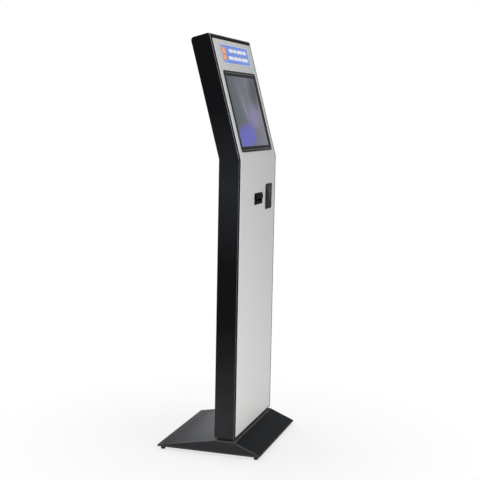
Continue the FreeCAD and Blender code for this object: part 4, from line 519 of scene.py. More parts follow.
def moulded(name, dark, light, grain=900, roughness=0.5, specular=0.4):
    """Moulded plastic: fine spark-eroded grain and slightly uneven colour."""
    finish = Finish(name)
    texture = finish.noise(grain, 3, 0.6)
    patches = finish.noise(25, 2)
    return finish.paint(
        Base_Color=finish.mix(patches, dark, light),
        Roughness=roughness + texture * 0.12,
        Specular_IOR_Level=specular,
        Normal=finish.bump(texture, 0.00005, 0.6),
    )


def gloss_black(name="gloss_black", specular=0.5, level=0.004):
    """Polished black, with a little dust and hairline scratches."""
    finish = Finish(name)
    dust_and_painted_light = dust_specks(finish)
    scratches = finish.noise(60, 2, 0.5, finish.place(scale=(30, 1, 2)))
    return finish.paint(
        Base_Color=finish.mix(dust_and_painted_light * 0.3, grey(level), grey(level + 0.03)),
        Roughness=0.06 + dust_and_painted_light * 0.25 + finish.spread(scratches, 0.7, 0.76) * 0.08,
        Specular_IOR_Level=specular,
    )


def rubber():
    finish = Finish("rubber")
    grain = finish.noise(700, 3)
    return finish.paint(
        Base_Color=finish.mix(grain, grey(0.012), grey(0.022)),
        Roughness=0.7 + grain * 0.15,
        Specular_IOR_Level=0.3,
        Normal=finish.bump(grain, 0.00006, 0.6),
    )


# The lit picture, measured from its centre: each soft patch has a centre and a size

PICTURE_EDGE = 0.0008
GLOW_LEFT, GLOW_DOWN, GLOW_SLANT = 0.085, 0.090, 0.10
GLOW_BOX = (0.080, 0.022, 0.034)
HIGH_GLOW = ((0.055, -0.020), (0.090, 0.060))
# The streak, the glint and the sheen are painted reflections laid into the emitted picture
REFLECTION_STREAK = ((-0.030, 0.030), (0.050, 0.120))
GLINT = ((-0.036, 0.012), (0.013, 0.060))
SHADE = ((0.110, 0.090), (0.085, 0.095))


def screen_glass():
    """Cover glass: a black border round the lit picture, which has a soft violet glow and painted
    reflections.
    """
    finish = Finish("screen_glass")
    x, _, z = finish.axes(head_place(finish, PICTURE_CENTRE))
    picture = box_mask(finish, x - PICTURE_SIDE, z, *PICTURE_HALF, PICTURE_EDGE)
    sheen = finish.noise(3.0, 2, 0.4, finish.place(scale=(2.4, 1, 0.4)))
    glow = box_mask(finish, x + GLOW_LEFT, z + GLOW_DOWN - x * GLOW_SLANT, *GLOW_BOX)
    across = finish.spread(x, -0.17, 0.17)
    lit = finish.layers(
        finish.mix(across, (0.080, 0.098, 0.112, 1), (0.195, 0.190, 0.235, 1)),
        # Painted reflections on the glass: the streak, the glint and the sheen
        (blob(finish, x + z * 0.35, z, *REFLECTION_STREAK) * 0.5, (0.19, 0.20, 0.235, 1)),
        (blob(finish, x + z * 0.25, z, *GLINT) * 0.6, (0.27, 0.28, 0.32, 1)),
        (blob(finish, x - z * 0.2, z, *SHADE) * 0.75, (0.030, 0.030, 0.042, 1)),
        (finish.spread(sheen, 0.35, 0.65) * 0.2, (0.14, 0.14, 0.17, 1)),
        (blob(finish, x, z, *HIGH_GLOW) * 0.6, (0.26, 0.22, 0.44, 1)),
        (glow * 0.88, (0.125, 0.125, 0.48, 1)),
    )
    smudge = finish.spread(finish.noise(30, 4, 0.6), 0.5, 0.8)
    return finish.paint(
        Base_Color=grey(0.003),
        Emission_Color=finish.mix(picture, (0, 0, 0, 1), lit),
        Emission_Strength=1.0,
        Roughness=0.05 + smudge * 0.06,
        Specular_IOR_Level=0.008,
    )


# Printed, glazed and fibrous things

SIGN_BORDER, SIGN_BORDER_SOFT = 0.0026, 0.0004
SIGN_FADE = (-0.165, -0.10)
SIGN_ACROSS = (-0.05, 0.17)


def sign_film():
    """Printed film: blue, fading to a pale lavender at its left end, in a white border."""
    finish = Finish("sign_film")
    x, _, z = finish.axes(head_place(finish, SIGN_CENTRE[1]))
    grain = finish.noise(300, 2)
    fade = finish.spread(x, *SIGN_FADE, 1, 0)
    across = finish.spread(x, *SIGN_ACROSS)
    blue = finish.mix(across, (0.10, 0.21, 0.72, 1), (0.11, 0.24, 0.74, 1))
    colour = finish.mix(fade * 0.45, blue, (0.46, 0.44, 0.88, 1))
    half_w, half_h = (side / 2 - SIGN_BORDER for side in SIGN_SIZE)
    inside = box_mask(finish, x, z, half_w, half_h, SIGN_BORDER_SOFT)
    return finish.paint(
        Base_Color=finish.mix(inside, grey(0.72), colour),
        Roughness=0.3 + grain * 0.08,
        Specular_IOR_Level=0.2,
        Normal=finish.bump(grain, 0.00002, 0.3),
    )


def printed_ink(name, dark, light):
    """Screen-printed ink, a little uneven."""
    finish = Finish(name)
    grain = finish.noise(400, 3)
    return finish.paint(
        Base_Color=finish.mix(grain, dark, light),
        Roughness=0.35 + grain * 0.1,
        Specular_IOR_Level=0.2,
        Normal=finish.bump(grain, 0.00002, 0.3),
    )


REFLECTION_SLANT = 0.73
REFLECTION_EDGE = (0.0, 0.012)
REFLECTION_FOOT = (-0.034, -0.012)


def reader_glass():
    """The reader's dark window, with a slanting grey reflection in its upper right half."""
    finish = Finish("reader_glass")
    centre_x, centre_z = READER_CENTRE
    x, _, z = finish.axes(finish.place(location=(-centre_x, 0, -centre_z)))
    slant = finish.spread(x + z * REFLECTION_SLANT, *REFLECTION_EDGE)
    slant = slant * finish.spread(z, *REFLECTION_FOOT)
    dust_and_painted_light = dust_specks(finish)
    colour = finish.mix(slant, grey(0.0035), (0.036, 0.038, 0.040, 1))
    return finish.paint(
        Base_Color=finish.mix(dust_and_painted_light * 0.2, colour, grey(0.04)),
        Roughness=0.06 + dust_and_painted_light * 0.2,
        Specular_IOR_Level=0.006,
    )


RUNS_PER_METRE = 4200


def circuit_board():
    """Green solder mask over straight copper runs, with bright pads."""
    finish = Finish("circuit_board")
    across, y, z = finish.axes(finish.place())
    waves = [finish.math("SINE", axis * RUNS_PER_METRE) for axis in (y + across, z)]
    upright, level = (finish.spread(wave, 0.45, 0.65) for wave in waves)
    field = finish.cells(75) > 0.42
    bundles = finish.spread(finish.noise(110, 1), 0.47, 0.49)
    runs = (field * upright + (1 - field) * level) * bundles
    pads = finish.spread(finish.cells(520), 0.12, 0.10)
    ground = finish.noise(60, 2)
    colour = finish.layers(
        finish.mix(ground, (0.010, 0.085, 0.034, 1), (0.014, 0.11, 0.044, 1)),
        (runs * 0.8, (0.035, 0.21, 0.075, 1)),
        (pads * 0.6, (0.70, 0.66, 0.50, 1)),
    )
    return finish.paint(
        Base_Color=colour,
        Roughness=0.35 + ground * 0.1,
        Metallic=pads * 0.5,
        Normal=finish.bump(runs, 0.00004, 0.4),
    )


RINGS_PER_METRE = 9000


def thermal_paper():
    """White paper; its wound edge shows as rings on the roll's ends."""
    finish = Finish("thermal_paper")
    _, y, z = finish.axes(finish.place())
    low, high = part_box("paper_roll")
    mid_y, mid_z = (low.y + high.y) / 2, (low.z + high.z) / 2
    reach = (y - mid_y) * (y - mid_y) + (z - mid_z) * (z - mid_z)
    rings = finish.math("SINE", finish.math("SQRT", reach) * RINGS_PER_METRE)
    edge = finish.spread(rings, -1, 1) * 0.35
    fibre = finish.noise(500, 4, 0.7)
    return finish.paint(
        Base_Color=finish.mix(edge, (0.80, 0.80, 0.77, 1), (0.62, 0.62, 0.60, 1)),
        Roughness=0.75 + fibre * 0.1,
        Specular_IOR_Level=0.3,
        Normal=finish.bump(fibre, 0.00003, 0.4),
    )


def cardboard():
    finish = Finish("cardboard")
    fibre = finish.noise(300, 4, 0.7, finish.place(scale=(0.2, 1, 1)))
    return finish.paint(
        Base_Color=finish.mix(fibre, (0.30, 0.19, 0.10, 1), (0.46, 0.33, 0.20, 1)),
        Roughness=0.85,
        Specular_IOR_Level=0.2,
        Normal=finish.bump(fibre, 0.0001, 0.5),
    )


# Each slot's finish, and the nodes that have one of their own

SLOT_FINISHES = {
    "black_steel": black_coat(),
    "white_steel": white_coat(),
    "zinc_steel": zinc_plate(),
    "bright_steel": turned_steel(),
    "tool_steel": turned_steel("ground_steel", 0.5, 0.28, (40, 1, 2)),
    "grey_steel": grey_coat(),
    "sign_film": sign_film(),
    "black_plastic": moulded("black_plastic", grey(0.008), grey(0.014)),
    "gloss_black": gloss_black(),
    "screen_glass": screen_glass(),
    "lcd": moulded("display_back", grey(0.03), grey(0.05), 500, 0.4),
    "rubber": rubber(),
    "circuit": circuit_board(),
    "thermal_paper": thermal_paper(),
    "cardboard": cardboard(),
    "white_nylon": moulded(
        "white_nylon", (0.70, 0.70, 0.66, 1), (0.78, 0.78, 0.74, 1), 600, 0.42),
    "brass": turned_steel("brass", 0.5, 0.22),
    "die_cast": cast_metal("black_anodised", 0.05, 0.42, 0.6),
    "heat_sink": cast_metal("bare_aluminium", 0.62),
    "red_plastic": moulded(
        "red_plastic", (0.45, 0.02, 0.015, 1), (0.55, 0.03, 0.02, 1), 700, 0.3),
    "blue_plastic": moulded(
        "blue_plastic", (0.02, 0.11, 0.34, 1), (0.03, 0.15, 0.42, 1), 700, 0.38),
}

NODE_FINISHES = {
    "base_cover": base_coat(),
    "screen_bezel": moulded("bezel_black", grey(0.005), grey(0.009), 1100, 0.45, 0.03),
    "ticket_bezel": moulded("mouth_black", grey(0.003), grey(0.005), 1100, 0.5, 0.01),
    "reader_frame": gloss_black("reader_black", 0.006, 0.005),
}


def dress_cad_nodes():
    """Every CAD node takes its own finish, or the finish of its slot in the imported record."""
    for part in frame["record"]["subparts"]:
        finish = NODE_FINISHES.get(part["node"], SLOT_FINISHES[part["material_slot"]])
        slots = nodes[part["node"]].data.materials
        slots.clear()
        slots.append(finish)


# Modelling helpers

TOUCH = 0.00001
BEVEL_ANGLE = math.radians(30)
SMOOTH_ANGLE = math.radians(35)


def start(name, add, **options):
    """Adds a primitive, alone in the selection, with its place and size in its mesh."""
    bpy.ops.object.select_all(action="DESELECT")
    add(**options)
    piece = bpy.context.object
    piece.name = name
    bpy.ops.object.transform_apply(location=True, rotation=True, scale=True)
    return piece


def pick_all():
    """Enters edit mode with everything selected."""
    bpy.ops.object.mode_set(mode="EDIT")
    bpy.ops.mesh.select_all(action="SELECT")


def pick(piece, kind, test):
    """Enters edit mode with only the wanted faces or edges selected."""
    bpy.ops.object.mode_set(mode="EDIT")
    bpy.ops.mesh.select_mode(type=kind)
    bpy.ops.mesh.select_all(action="DESELECT")
    leave_edit()
    for item in piece.data.edges if kind == "EDGE" else piece.data.polygons:
        item.select = bool(test(item))
    bpy.ops.object.mode_set(mode="EDIT")


def pick_outer(piece, direction):
    """Enters edit mode with the flat face furthest along a direction; gives its distance."""
    way = Vector(direction)
    reach = max(face.center.dot(way) for face in piece.data.polygons)
    pick(piece, "FACE", lambda face: face.center.dot(way) > reach - TOUCH
         and face.normal.dot(way) > 0.9)
    return reach


def pull(move):
    """Draws the selected faces out by a move, and leaves the moved ones selected."""
    bpy.ops.mesh.extrude_region_move(TRANSFORM_OT_translate={"value": move})


def hollow(piece, direction, rim, depth):
    """Sinks a piece's outer face inside a rim, and stays in edit mode."""
    pick_outer(piece, direction)
    bpy.ops.mesh.inset(thickness=rim)
    pull(Vector(direction) * -depth)


def leave_edit():
    bpy.ops.object.mode_set(mode="OBJECT")


def turn_outward():
    """Points every face outward and leaves edit mode."""
    bpy.ops.mesh.select_all(action="SELECT")
    bpy.ops.mesh.normals_make_consistent(inside=False)
    leave_edit()


def raise_band(width, rise):
    """Keeps a band of a flat face's rim and raises it along y."""
    pick_all()
    bpy.ops.mesh.inset(thickness=width)
    bpy.ops.mesh.delete(type="FACE")
    bpy.ops.mesh.select_all(action="SELECT")
    pull((0, rise, 0))
    turn_outward()


def add_bevel(piece, width, segments=2):
    bevel = piece.modifiers.new("bevel", "BEVEL")
    bevel.width, bevel.segments = width, segments
    bevel.limit_method, bevel.angle_limit = "ANGLE", BEVEL_ANGLE
    bpy.context.view_layer.objects.active = piece
    bpy.ops.object.modifier_apply(modifier="bevel")


def join(name, pieces):
    bpy.ops.object.select_all(action="DESELECT")
    for piece in pieces:
        piece.select_set(True)
    bpy.context.view_layer.objects.active = pieces[0]
    if len(pieces) > 1:
        bpy.ops.object.join()
    whole = bpy.context.object
    whole.name = name
    return whole


def copy_at(piece, matrix):
    """A copy with its own mesh, its new place in the mesh."""
    twin = piece.copy()
    twin.data = piece.data.copy()
    twin.data.transform(matrix)
    bpy.context.collection.objects.link(twin)
    return twin


def move_mesh(piece, matrix):
    piece.data.transform(matrix)
    piece.data.update()
    return piece


def settle(piece, body, slot, finish=None):
    """Last steps of each piece: soft shading, its finish (its slot's, unless one is given) and its
    body.
    """
    bpy.ops.object.select_all(action="DESELECT")
    piece.select_set(True)
    bpy.context.view_layer.objects.active = piece
    bpy.ops.object.shade_smooth_by_angle(angle=SMOOTH_ANGLE)
    piece.data.materials.clear()
    piece.data.materials.append(finish or SLOT_FINISHES[slot])
    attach(piece, body)
    return piece


def block(name, centre, size):
    return start(name, bpy.ops.mesh.primitive_cube_add, size=1, location=centre, scale=size)


def plate(name, centre, size, bevel, segments=2):
    """A bevelled plate: centre and size along x, y and z."""
    piece = block(name, centre, size)
    add_bevel(piece, bevel, segments)
    return piece


def rounded_plate(name, centre, size, corner, segments=4, soften=0.00015):
    """A flat plate that faces -Y, with rounded corners and softened rims."""
    piece = block(name, centre, size)

    def runs_back(edge):
        first, second = (piece.data.vertices[i].co for i in edge.vertices)
        return abs(first.y - second.y) > size[1] / 2

    pick(piece, "EDGE", runs_back)
    bpy.ops.mesh.bevel(offset=corner, segments=segments, affect="EDGES")
    leave_edit()
    add_bevel(piece, soften)
    return piece


def cut_away(piece, cutters):
    """Takes the cutters' shapes out of a piece and removes them."""
    for cutter in cutters:
        cut = piece.modifiers.new("cut", "BOOLEAN")
        cut.operation, cut.object, cut.solver = "DIFFERENCE", cutter, "EXACT"
        bpy.context.view_layer.objects.active = piece
        bpy.ops.object.modifier_apply(modifier="cut")
        bpy.data.objects.remove(cutter)
    return piece


def turned(name, steps, sides=24):
    """A round piece on Z: a filled circle drawn up through (height, radius) steps."""
    (base, radius), *rest = steps
    piece = start(name, bpy.ops.mesh.primitive_circle_add, vertices=sides, radius=radius,
                  fill_type="NGON", location=(0, 0, base))
    pick_all()
    for height, wanted in rest:
        pull((0, 0, height - base))
        share = wanted / radius
        bpy.ops.transform.resize(value=(share, share, 1), center_override=(0, 0, height))
        base, radius = height, wanted
    turn_outward()
    return piece


# The sign: a plain ticket sign and two rows of word-long white bars

SIGN_ROWS = (       # height of the row's middle, left end, lengths of its words
    (0.418, -0.078, (0.052, 0.038, 0.070, 0.044)),
    (0.389, -0.095, (0.060, 0.046, 0.038, 0.083)),
)
WORD_HEIGHT, WORD_GAP = 0.0135, 0.006
WORD_CORNER = 0.3 * WORD_HEIGHT
INK_THICKNESS, INK_SINK = 0.0004, 0.00005
INK_DEPTH = SIGN_FACE - INK_THICKNESS / 2 + INK_SINK
LINE_DEPTH = INK_DEPTH - INK_THICKNESS
TICKET_CENTRE = (-0.140, 0.4035)
TICKET_WIDTH, TICKET_HEIGHT, TICKET_CORNER = 0.046, 0.049, 0.003
NOTCH_RADIUS = TICKET_WIDTH * 0.13
NOTCH_RISE = TICKET_CENTRE[1] - TICKET_HEIGHT * 0.16
NOTCH_CUT = 0.01
TICKET_LINES = ((0.30, 0.62), (0.12, 0.44), (-0.34, 0.50))      # shares of the ticket's size
LINE_HEIGHT, DASH_HEIGHT = 0.0036, 0.0012
LINE_CORNER, DASH_CORNER = 0.0012, 0.0004
DASH_LENGTH, DASH_PITCH = TICKET_WIDTH * 0.07, TICKET_WIDTH * 0.13


def print_words():
    words = []
    for rise, left, lengths in SIGN_ROWS:
        for length in lengths:
            centre = (left + length / 2, INK_DEPTH, rise)
            size = (length, INK_THICKNESS, WORD_HEIGHT)
            words.append(rounded_plate("word", centre, size, WORD_CORNER))
            left += length + WORD_GAP
    white = printed_ink("white_ink", (0.80, 0.82, 0.92, 1), (0.88, 0.89, 0.95, 1))
    settle(move_mesh(join("sign_words", words), HEAD_FRAME), "kiosk", "sign_film", white)


def print_ticket():
    """A ticket with a notch at each side, and its lines and its row of dashes."""
    x, rise = TICKET_CENTRE
    size = (TICKET_WIDTH, INK_THICKNESS, TICKET_HEIGHT)
    ticket = rounded_plate("sign_ticket", (x, INK_DEPTH, rise), size, TICKET_CORNER)
    cutters = [start("notch", bpy.ops.mesh.primitive_cylinder_add, vertices=24,
                     radius=NOTCH_RADIUS, depth=NOTCH_CUT, rotation=(QUARTER_TURN, 0, 0),
                     location=(x + side * TICKET_WIDTH / 2, INK_DEPTH, NOTCH_RISE))
               for side in (-1, 1)]
    orange = printed_ink("orange_ink", (0.80, 0.22, 0.05, 1), (0.86, 0.32, 0.10, 1))
    ticket = move_mesh(cut_away(ticket, cutters), HEAD_FRAME)
    settle(ticket, "kiosk", "sign_film", orange)

    marks = []
    for share, length in TICKET_LINES:
        centre = (x, LINE_DEPTH, rise + share * TICKET_HEIGHT)
        size = (TICKET_WIDTH * length, INK_THICKNESS, LINE_HEIGHT)
        marks.append(rounded_plate("line", centre, size, LINE_CORNER))
    for place in (-2, -1, 0, 1, 2):
        centre = (x + place * DASH_PITCH, LINE_DEPTH, NOTCH_RISE)
        size = (DASH_LENGTH, INK_THICKNESS, DASH_HEIGHT)
        marks.append(rounded_plate("dash", centre, size, DASH_CORNER, 2))
    cream = printed_ink("cream_ink", (0.86, 0.72, 0.50, 1), (0.90, 0.78, 0.58, 1))
    lines = move_mesh(join("sign_ticket_lines", marks), HEAD_FRAME)
    settle(lines, "kiosk", "sign_film", cream)


# The screen's rim: a thin glossy bead where bezel and glass meet

GLASS_SIZE = (0.3884, 0.2984)
GLASS_FACE = -0.0027
BEAD_WIDTH, BEAD_RISE = 0.0017, 0.0007
BEAD_BEVEL = 0.45 * BEAD_RISE


def run_screen_bead():
    width, height = GLASS_SIZE
    bead = start("screen_bead", bpy.ops.mesh.primitive_plane_add, size=1,
                 rotation=(QUARTER_TURN, 0, 0))
    place = Matrix.Translation((0, GLASS_FACE, PICTURE_CENTRE))
    move_mesh(bead, place @ Matrix.Diagonal((width, 1, height, 1)))
    raise_band(BEAD_WIDTH, -BEAD_RISE)
    add_bevel(bead, BEAD_BEVEL, 3)
    settle(move_mesh(bead, HEAD_FRAME), "kiosk", "gloss_black")


# Feet: ribbed rubber with a screw well, standing where the plain ones stand

FOOT_X, FOOT_Y = 0.236, 0.187
FOOT_PLACES = [(side * FOOT_X, end * FOOT_Y) for side in (-1, 1) for end in (-1, 1)]
FOOT_PROFILE = (
    (0, 0.0072), (0.0006, 0.0082), (0.0030, 0.0085), (0.0036, 0.0080), (0.0044, 0.0080),
    (0.0050, 0.0089), (0.0084, 0.0094), (0.0090, 0.0089), (0.0098, 0.0089), (0.0104, 0.0099),
    (0.0121, 0.0100), (0.0125, 0.0096),
)
WELL_RIM, WELL_DEPTH, WELL_TAPER = 0.0034, 0.0045, 0.8


def turn_feet():
    foot = turned("base_feet_turned", FOOT_PROFILE, 32)
    hollow(foot, (0, 0, -1), WELL_RIM, WELL_DEPTH)
    bpy.ops.transform.resize(value=(WELL_TAPER, WELL_TAPER, 1), center_override=(0, 0, WELL_DEPTH))
    leave_edit()
    feet = [copy_at(foot, Matrix.Translation((x, y, 0))) for x, y in FOOT_PLACES]
    bpy.data.objects.remove(foot)
    whole = settle(join("base_feet_turned", feet), "kiosk", "rubber")
    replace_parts(whole, "base_feet")


# Screws: pan heads with a cross recess, each (x, its seat's depth behind the front, height).
# The recess is cut by bars of twice its depth, half of which stand above the top

SCREW_PROFILE = (
    (-0.0080, 0.0013), (-0.0073, 0.0019), (-0.0002, 0.0019), (0, 0.0033), (0.0005, 0.0035),
    (0.0012, 0.0033), (0.0018, 0.0025), (0.0021, 0.0015), (0.0022, 0.0006),
)
SHANK_STEPS = 4
SCREW_TOP = SCREW_PROFILE[-1][0]
RECESS_LENGTH, RECESS_WIDTH, RECESS_DEPTH = 0.0032, 0.0008, 0.0010
RAIL_X, COVER_X, INLET_XS = 0.2275, 0.198, (0.130, 0.170)
PANEL_SEAT, EQUIPMENT_SEAT, COVER_SEAT, INLET_SEAT = 0.0095, 0.0110, 0.07877, 0.0825
COLUMN_SCREWS = [(side * RAIL_X, seat, z) for side in (-1, 1) for seat, z in (
    (PANEL_SEAT, 0.13885), (PANEL_SEAT, 1.01835),
    (EQUIPMENT_SEAT, 0.227), (EQUIPMENT_SEAT, 0.713))]
COLUMN_SCREWS += [(x, INLET_SEAT, 0.120) for x in INLET_XS]
HEAD_SCREWS = [(side * x, seat, rise) for side in (-1, 1) for x, seat, rise in (
    (RAIL_X, PANEL_SEAT, 0.42473), (COVER_X, COVER_SEAT, 0.052), (COVER_X, COVER_SEAT, 0.438))]
FAN_RISE, FAN_SCREW_REACH = 0.385, 0.025
FAN_SCREWS = [(side * FAN_SCREW_REACH, COVER_SEAT, FAN_RISE + end * FAN_SCREW_REACH)
              for side in (-1, 1) for end in (-1, 1)]
TO_REAR = Matrix.Rotation(-QUARTER_TURN, 4, "X")
TURN_STEP = 0.9


def cross_screw(profile, top, sides=20):
    """A screw standing on +Z with its seat at 0 and a cross cut down from its top."""
    screw = turned("screw", profile, sides)
    sizes = ((RECESS_LENGTH, RECESS_WIDTH), (RECESS_WIDTH, RECESS_LENGTH))
    return cut_away(screw, [block("recess", (0, 0, top), (*size, 2 * RECESS_DEPTH))
                            for size in sizes])


def on_column(place):
    """A screw's matrix on the column: its tip to the front and its head to the rear."""
    x, depth, z = place
    return Matrix.Translation((x, FRONT_Y + depth, z)) @ TO_REAR


def on_head(place):
    """The same on the leaning head."""
    return HEAD_FRAME @ Matrix.Translation(place) @ TO_REAR


def scatter(name, model, places, body, slot, finish=None):
    """Copies of one model as one piece, each turned further about its own axis."""
    turns = [Matrix.Rotation(i * TURN_STEP, 4, "Z") for i in range(len(places))]
    whole = join(name, [copy_at(model, place @ turn) for place, turn in zip(places, turns)])
    return settle(whole, body, slot, finish)


def drive_screws():
    screw = cross_screw(SCREW_PROFILE, SCREW_TOP)
    places = [on_column(place) for place in COLUMN_SCREWS]
    places += [on_head(place) for place in HEAD_SCREWS]
    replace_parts(scatter("cross_screws", screw, places, "kiosk", "zinc_steel"), "hex_screws")
    fan_places = [on_head(place) for place in FAN_SCREWS]
    black = SLOT_FINISHES["black_steel"]
    scatter("fan_screws", screw, fan_places, "kiosk", "zinc_steel", black)
    bpy.data.objects.remove(screw)


# Countersunk screws in the hinge leaves: each leaf's x and the low ends of its two copies

FLUSH_PROFILE = ((-0.0006, 0.0014), (0.0001, 0.0023), (0.00025, 0.0023), (0.00035, 0.0021))
FLUSH_CUT_TOP = 0.0005
LEAF_FACE = 0.082
LEAF_SCREW_RISES = (0.0065, 0.0175)
LEAVES = (
    ("body_leaf_screws", "kiosk", 0.2433, (0.2568, 0.9598)),
    ("door_leaf_screws", "door", 0.2243, (0.2812, 0.9842)),
)


def screw_hinges():
    screw = cross_screw(FLUSH_PROFILE, FLUSH_CUT_TOP, 18)
    for name, body, x, lows in LEAVES:
        heights = [low + rise for low in lows for rise in LEAF_SCREW_RISES]
        places = [on_column((x, LEAF_FACE, z)) for z in heights]
        scatter(name, screw, places, body, "zinc_steel")
    bpy.data.objects.remove(screw)


# The reader's window: rounded to its frame's corners and crowned in rings of (share, rise)

WINDOW_SIZE = (0.0666, 0.0020, 0.0846)
WINDOW_CORNER = 0.0039
WINDOW_MIDDLE_Y = -0.1057
CROWN_RINGS = (
    (0.95, 0.00030), (0.88, 0.00028), (0.78, 0.00022), (0.62, 0.00014), (0.40, 0.00006))


def crown_window():
    x, z = READER_CENTRE
    centre = (x, WINDOW_MIDDLE_Y, z)
    window = rounded_plate("crowned_window", centre, WINDOW_SIZE, WINDOW_CORNER, 5)
    front = -pick_outer(window, (0, -1, 0))
    size = 1.0
    for wanted, rise in CROWN_RINGS:
        front -= rise
        share = wanted / size
        pull((0, -rise, 0))
        bpy.ops.transform.resize(value=(share, 1, share), center_override=(x, front, z))
        size = wanted
    leave_edit()
    settle(window, "kiosk", "gloss_black", reader_glass())
    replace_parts(window, "reader_window")


# Sockets on the computer's upper end: (middle x, width along x, width along y)

COMPUTER_TOP = 0.6104
SOCKET_MIDDLE_Y = -0.0765
SOCKETS = (
    (-0.176, 0.0145, 0.0070), (-0.158, 0.0145, 0.0070), (-0.136, 0.0160, 0.0135),
    (-0.117, 0.0150, 0.0060), (-0.070, 0.0310, 0.0100), (-0.040, 0.0145, 0.0070),
    (-0.019, 0.0100, 0.0100),
)
SOCKET_RISE, SOCKET_SINK = 0.0016, 0.0002
SOCKET_RIM, SOCKET_HOLLOW = 0.0007, 0.0011
SOCKET_BEVEL, TONGUE_BEVEL = 0.0003, 0.0002
TONGUE_SHARES = (0.7, 0.3)


def fit_sockets():
    shells, tongues = [], []
    for x, width, deep in SOCKETS:
        centre = (x, SOCKET_MIDDLE_Y, COMPUTER_TOP + SOCKET_RISE / 2)
        size = (width, deep, SOCKET_RISE + SOCKET_SINK)
        shell = plate("socket_shell", centre, size, SOCKET_BEVEL)
        hollow(shell, (0, 0, 1), SOCKET_RIM, SOCKET_HOLLOW)
        leave_edit()
        shells.append(shell)
        centre = (x, SOCKET_MIDDLE_Y, COMPUTER_TOP + SOCKET_HOLLOW / 2)
        size = (width * TONGUE_SHARES[0], deep * TONGUE_SHARES[1], SOCKET_HOLLOW)
        tongues.append(plate("tongue", centre, size, TONGUE_BEVEL, 1))
    settle(join("computer_sockets", shells), "kiosk", "bright_steel")
    settle(join("socket_tongues", tongues), "kiosk", "black_plastic")


# The power supply's terminal row: a barrier strip with its clamp screws

STRIP_MIDDLE = (0.110, -0.0783, 0.4384)
STRIP_SIZE = (0.086, 0.0016, 0.0150)
STRIP_BEVEL = 0.0003
TERMINALS = 9
TERMINAL_PITCH = 0.0093
BARRIER_SIZE = (0.0012, 0.0046, 0.0140)
CLAMP_RISE = 0.0002


def fit_terminals():
    x, y, z = STRIP_MIDDLE
    pieces = [plate("strip", STRIP_MIDDLE, STRIP_SIZE, STRIP_BEVEL)]
    for i in range(TERMINALS + 1):
        left = x + (i - TERMINALS / 2) * TERMINAL_PITCH
        centre = (left, y + BARRIER_SIZE[1] / 2, z)
        pieces.append(plate("barrier", centre, BARRIER_SIZE, STRIP_BEVEL, 1))
    settle(join("terminal_strip", pieces), "kiosk", "black_plastic")
    screw = cross_screw(SCREW_PROFILE[SHANK_STEPS:], SCREW_TOP)
    middles = [x + (i - (TERMINALS - 1) / 2) * TERMINAL_PITCH for i in range(TERMINALS)]
    clamps = [Matrix.Translation((middle, y + CLAMP_RISE, z)) @ TO_REAR for middle in middles]
    scatter("terminal_screws", screw, clamps, "kiosk", "bright_steel")
    bpy.data.objects.remove(screw)


# Parts on the printer's control board, standing out to -X from its face: (y, z, ...)

BOARD_FACE_X = -0.0474
TO_LEFT = Matrix.Rotation(-QUARTER_TURN, 4, "Y")
CAN_PROFILE = (
    (-0.0001, 0.0021), (0.0002, 0.0024), (0.0008, 0.0025), (0.0011, 0.0022), (0.0014, 0.0025),
    (0.0050, 0.0025), (0.0053, 0.0023),
)
CAN_PLACES = ((-0.047, 0.953), (-0.047, 0.945), (-0.041, 0.949))
HEADERS = ((-0.0765, 0.9545, 0.010), (-0.0630, 0.9545, 0.012), (-0.0745, 0.9200, 0.014))
HEADER_HEIGHT, HEADER_WIDTH, HEADER_BEVEL = 0.0052, 0.0045, 0.0002
HEADER_RIM, HEADER_HOLLOW = 0.0006, 0.0035
CHIPS, CHIP_START, CHIP_PITCH, CHIP_Z = 6, -0.058, 0.0035, 0.9205
CHIP_SIZE, CHIP_MIDDLE, CHIP_BEVEL = (0.0009, 0.0022, 0.0013), 0.0004, 0.0001


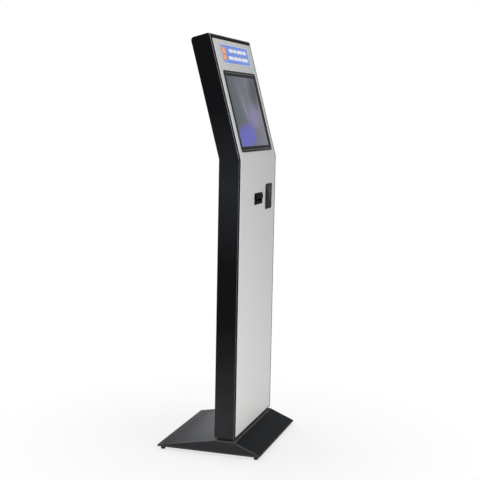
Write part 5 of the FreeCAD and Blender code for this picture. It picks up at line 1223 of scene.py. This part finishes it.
def dress_board():
    can = turned("can", CAN_PROFILE, 20)
    places = [Matrix.Translation((BOARD_FACE_X, y, z)) @ TO_LEFT for y, z in CAN_PLACES]
    scatter("board_cans", can, places, "kiosk", "heat_sink")
    bpy.data.objects.remove(can)
    headers = []
    for y, z, length in HEADERS:
        centre = (BOARD_FACE_X - HEADER_HEIGHT / 2, y, z)
        size = (HEADER_HEIGHT, length, HEADER_WIDTH)
        header = plate("header", centre, size, HEADER_BEVEL, 1)
        hollow(header, (-1, 0, 0), HEADER_RIM, HEADER_HOLLOW)
        leave_edit()
        headers.append(header)
    settle(join("board_headers", headers), "kiosk", "white_nylon")
    chips = []
    for i in range(CHIPS):
        centre = (BOARD_FACE_X - CHIP_MIDDLE, CHIP_START + i * CHIP_PITCH, CHIP_Z)
        chips.append(plate("chip", centre, CHIP_SIZE, CHIP_BEVEL, 1))
    settle(join("board_chips", chips), "kiosk", "black_plastic")


# On and off marks on the rocker's two faces: a line and a ring

ROCKER_PIVOT = (0.150, -0.0255, 0.134)
ROCKER_TILT = math.radians(9)
FACE_SLOPE = math.radians(29.1)
MARK_DEPTH, MARK_RISE = 0.00573, 0.0031
MARK_THICKNESS = 0.0002
MARK_LINE = (0.0007, MARK_THICKNESS, 0.0030)
MARK_LINE_CORNER, MARK_LINE_SOFTEN = 0.0002, 0.00004
RING_RADIUS, RING_WIDTH = 0.0015, 0.0006


def mark_rocker():
    pivot = Matrix.Translation(ROCKER_PIVOT) @ Matrix.Rotation(ROCKER_TILT, 4, "X")
    line = rounded_plate("line", (0, 0, 0), MARK_LINE, MARK_LINE_CORNER, 2, MARK_LINE_SOFTEN)
    ring = start("ring", bpy.ops.mesh.primitive_circle_add, vertices=28, radius=RING_RADIUS,
                 fill_type="NGON", rotation=(QUARTER_TURN, 0, 0))
    raise_band(RING_WIDTH, MARK_THICKNESS / 2)
    for mark, side in ((line, 1), (ring, -1)):
        spot = Matrix.Translation((0, MARK_DEPTH, side * MARK_RISE))
        move_mesh(mark, pivot @ spot @ Matrix.Rotation(-side * FACE_SLOPE, 4, "X"))
    ink = printed_ink("mark_ink", (0.82, 0.82, 0.80, 1), (0.88, 0.88, 0.86, 1))
    settle(join("rocker_marks", [line, ring]), "power_rocker", "red_plastic", ink)


# Camera and surroundings come first, then every piece

set_camera()
set_soft_boxes()
lay_floor()
light_surroundings()
dress_cad_nodes()
print_words()
print_ticket()
run_screen_bead()
turn_feet()
drive_screws()
screw_hinges()
crown_window()
fit_sockets()
fit_terminals()
dress_board()
mark_rocker()
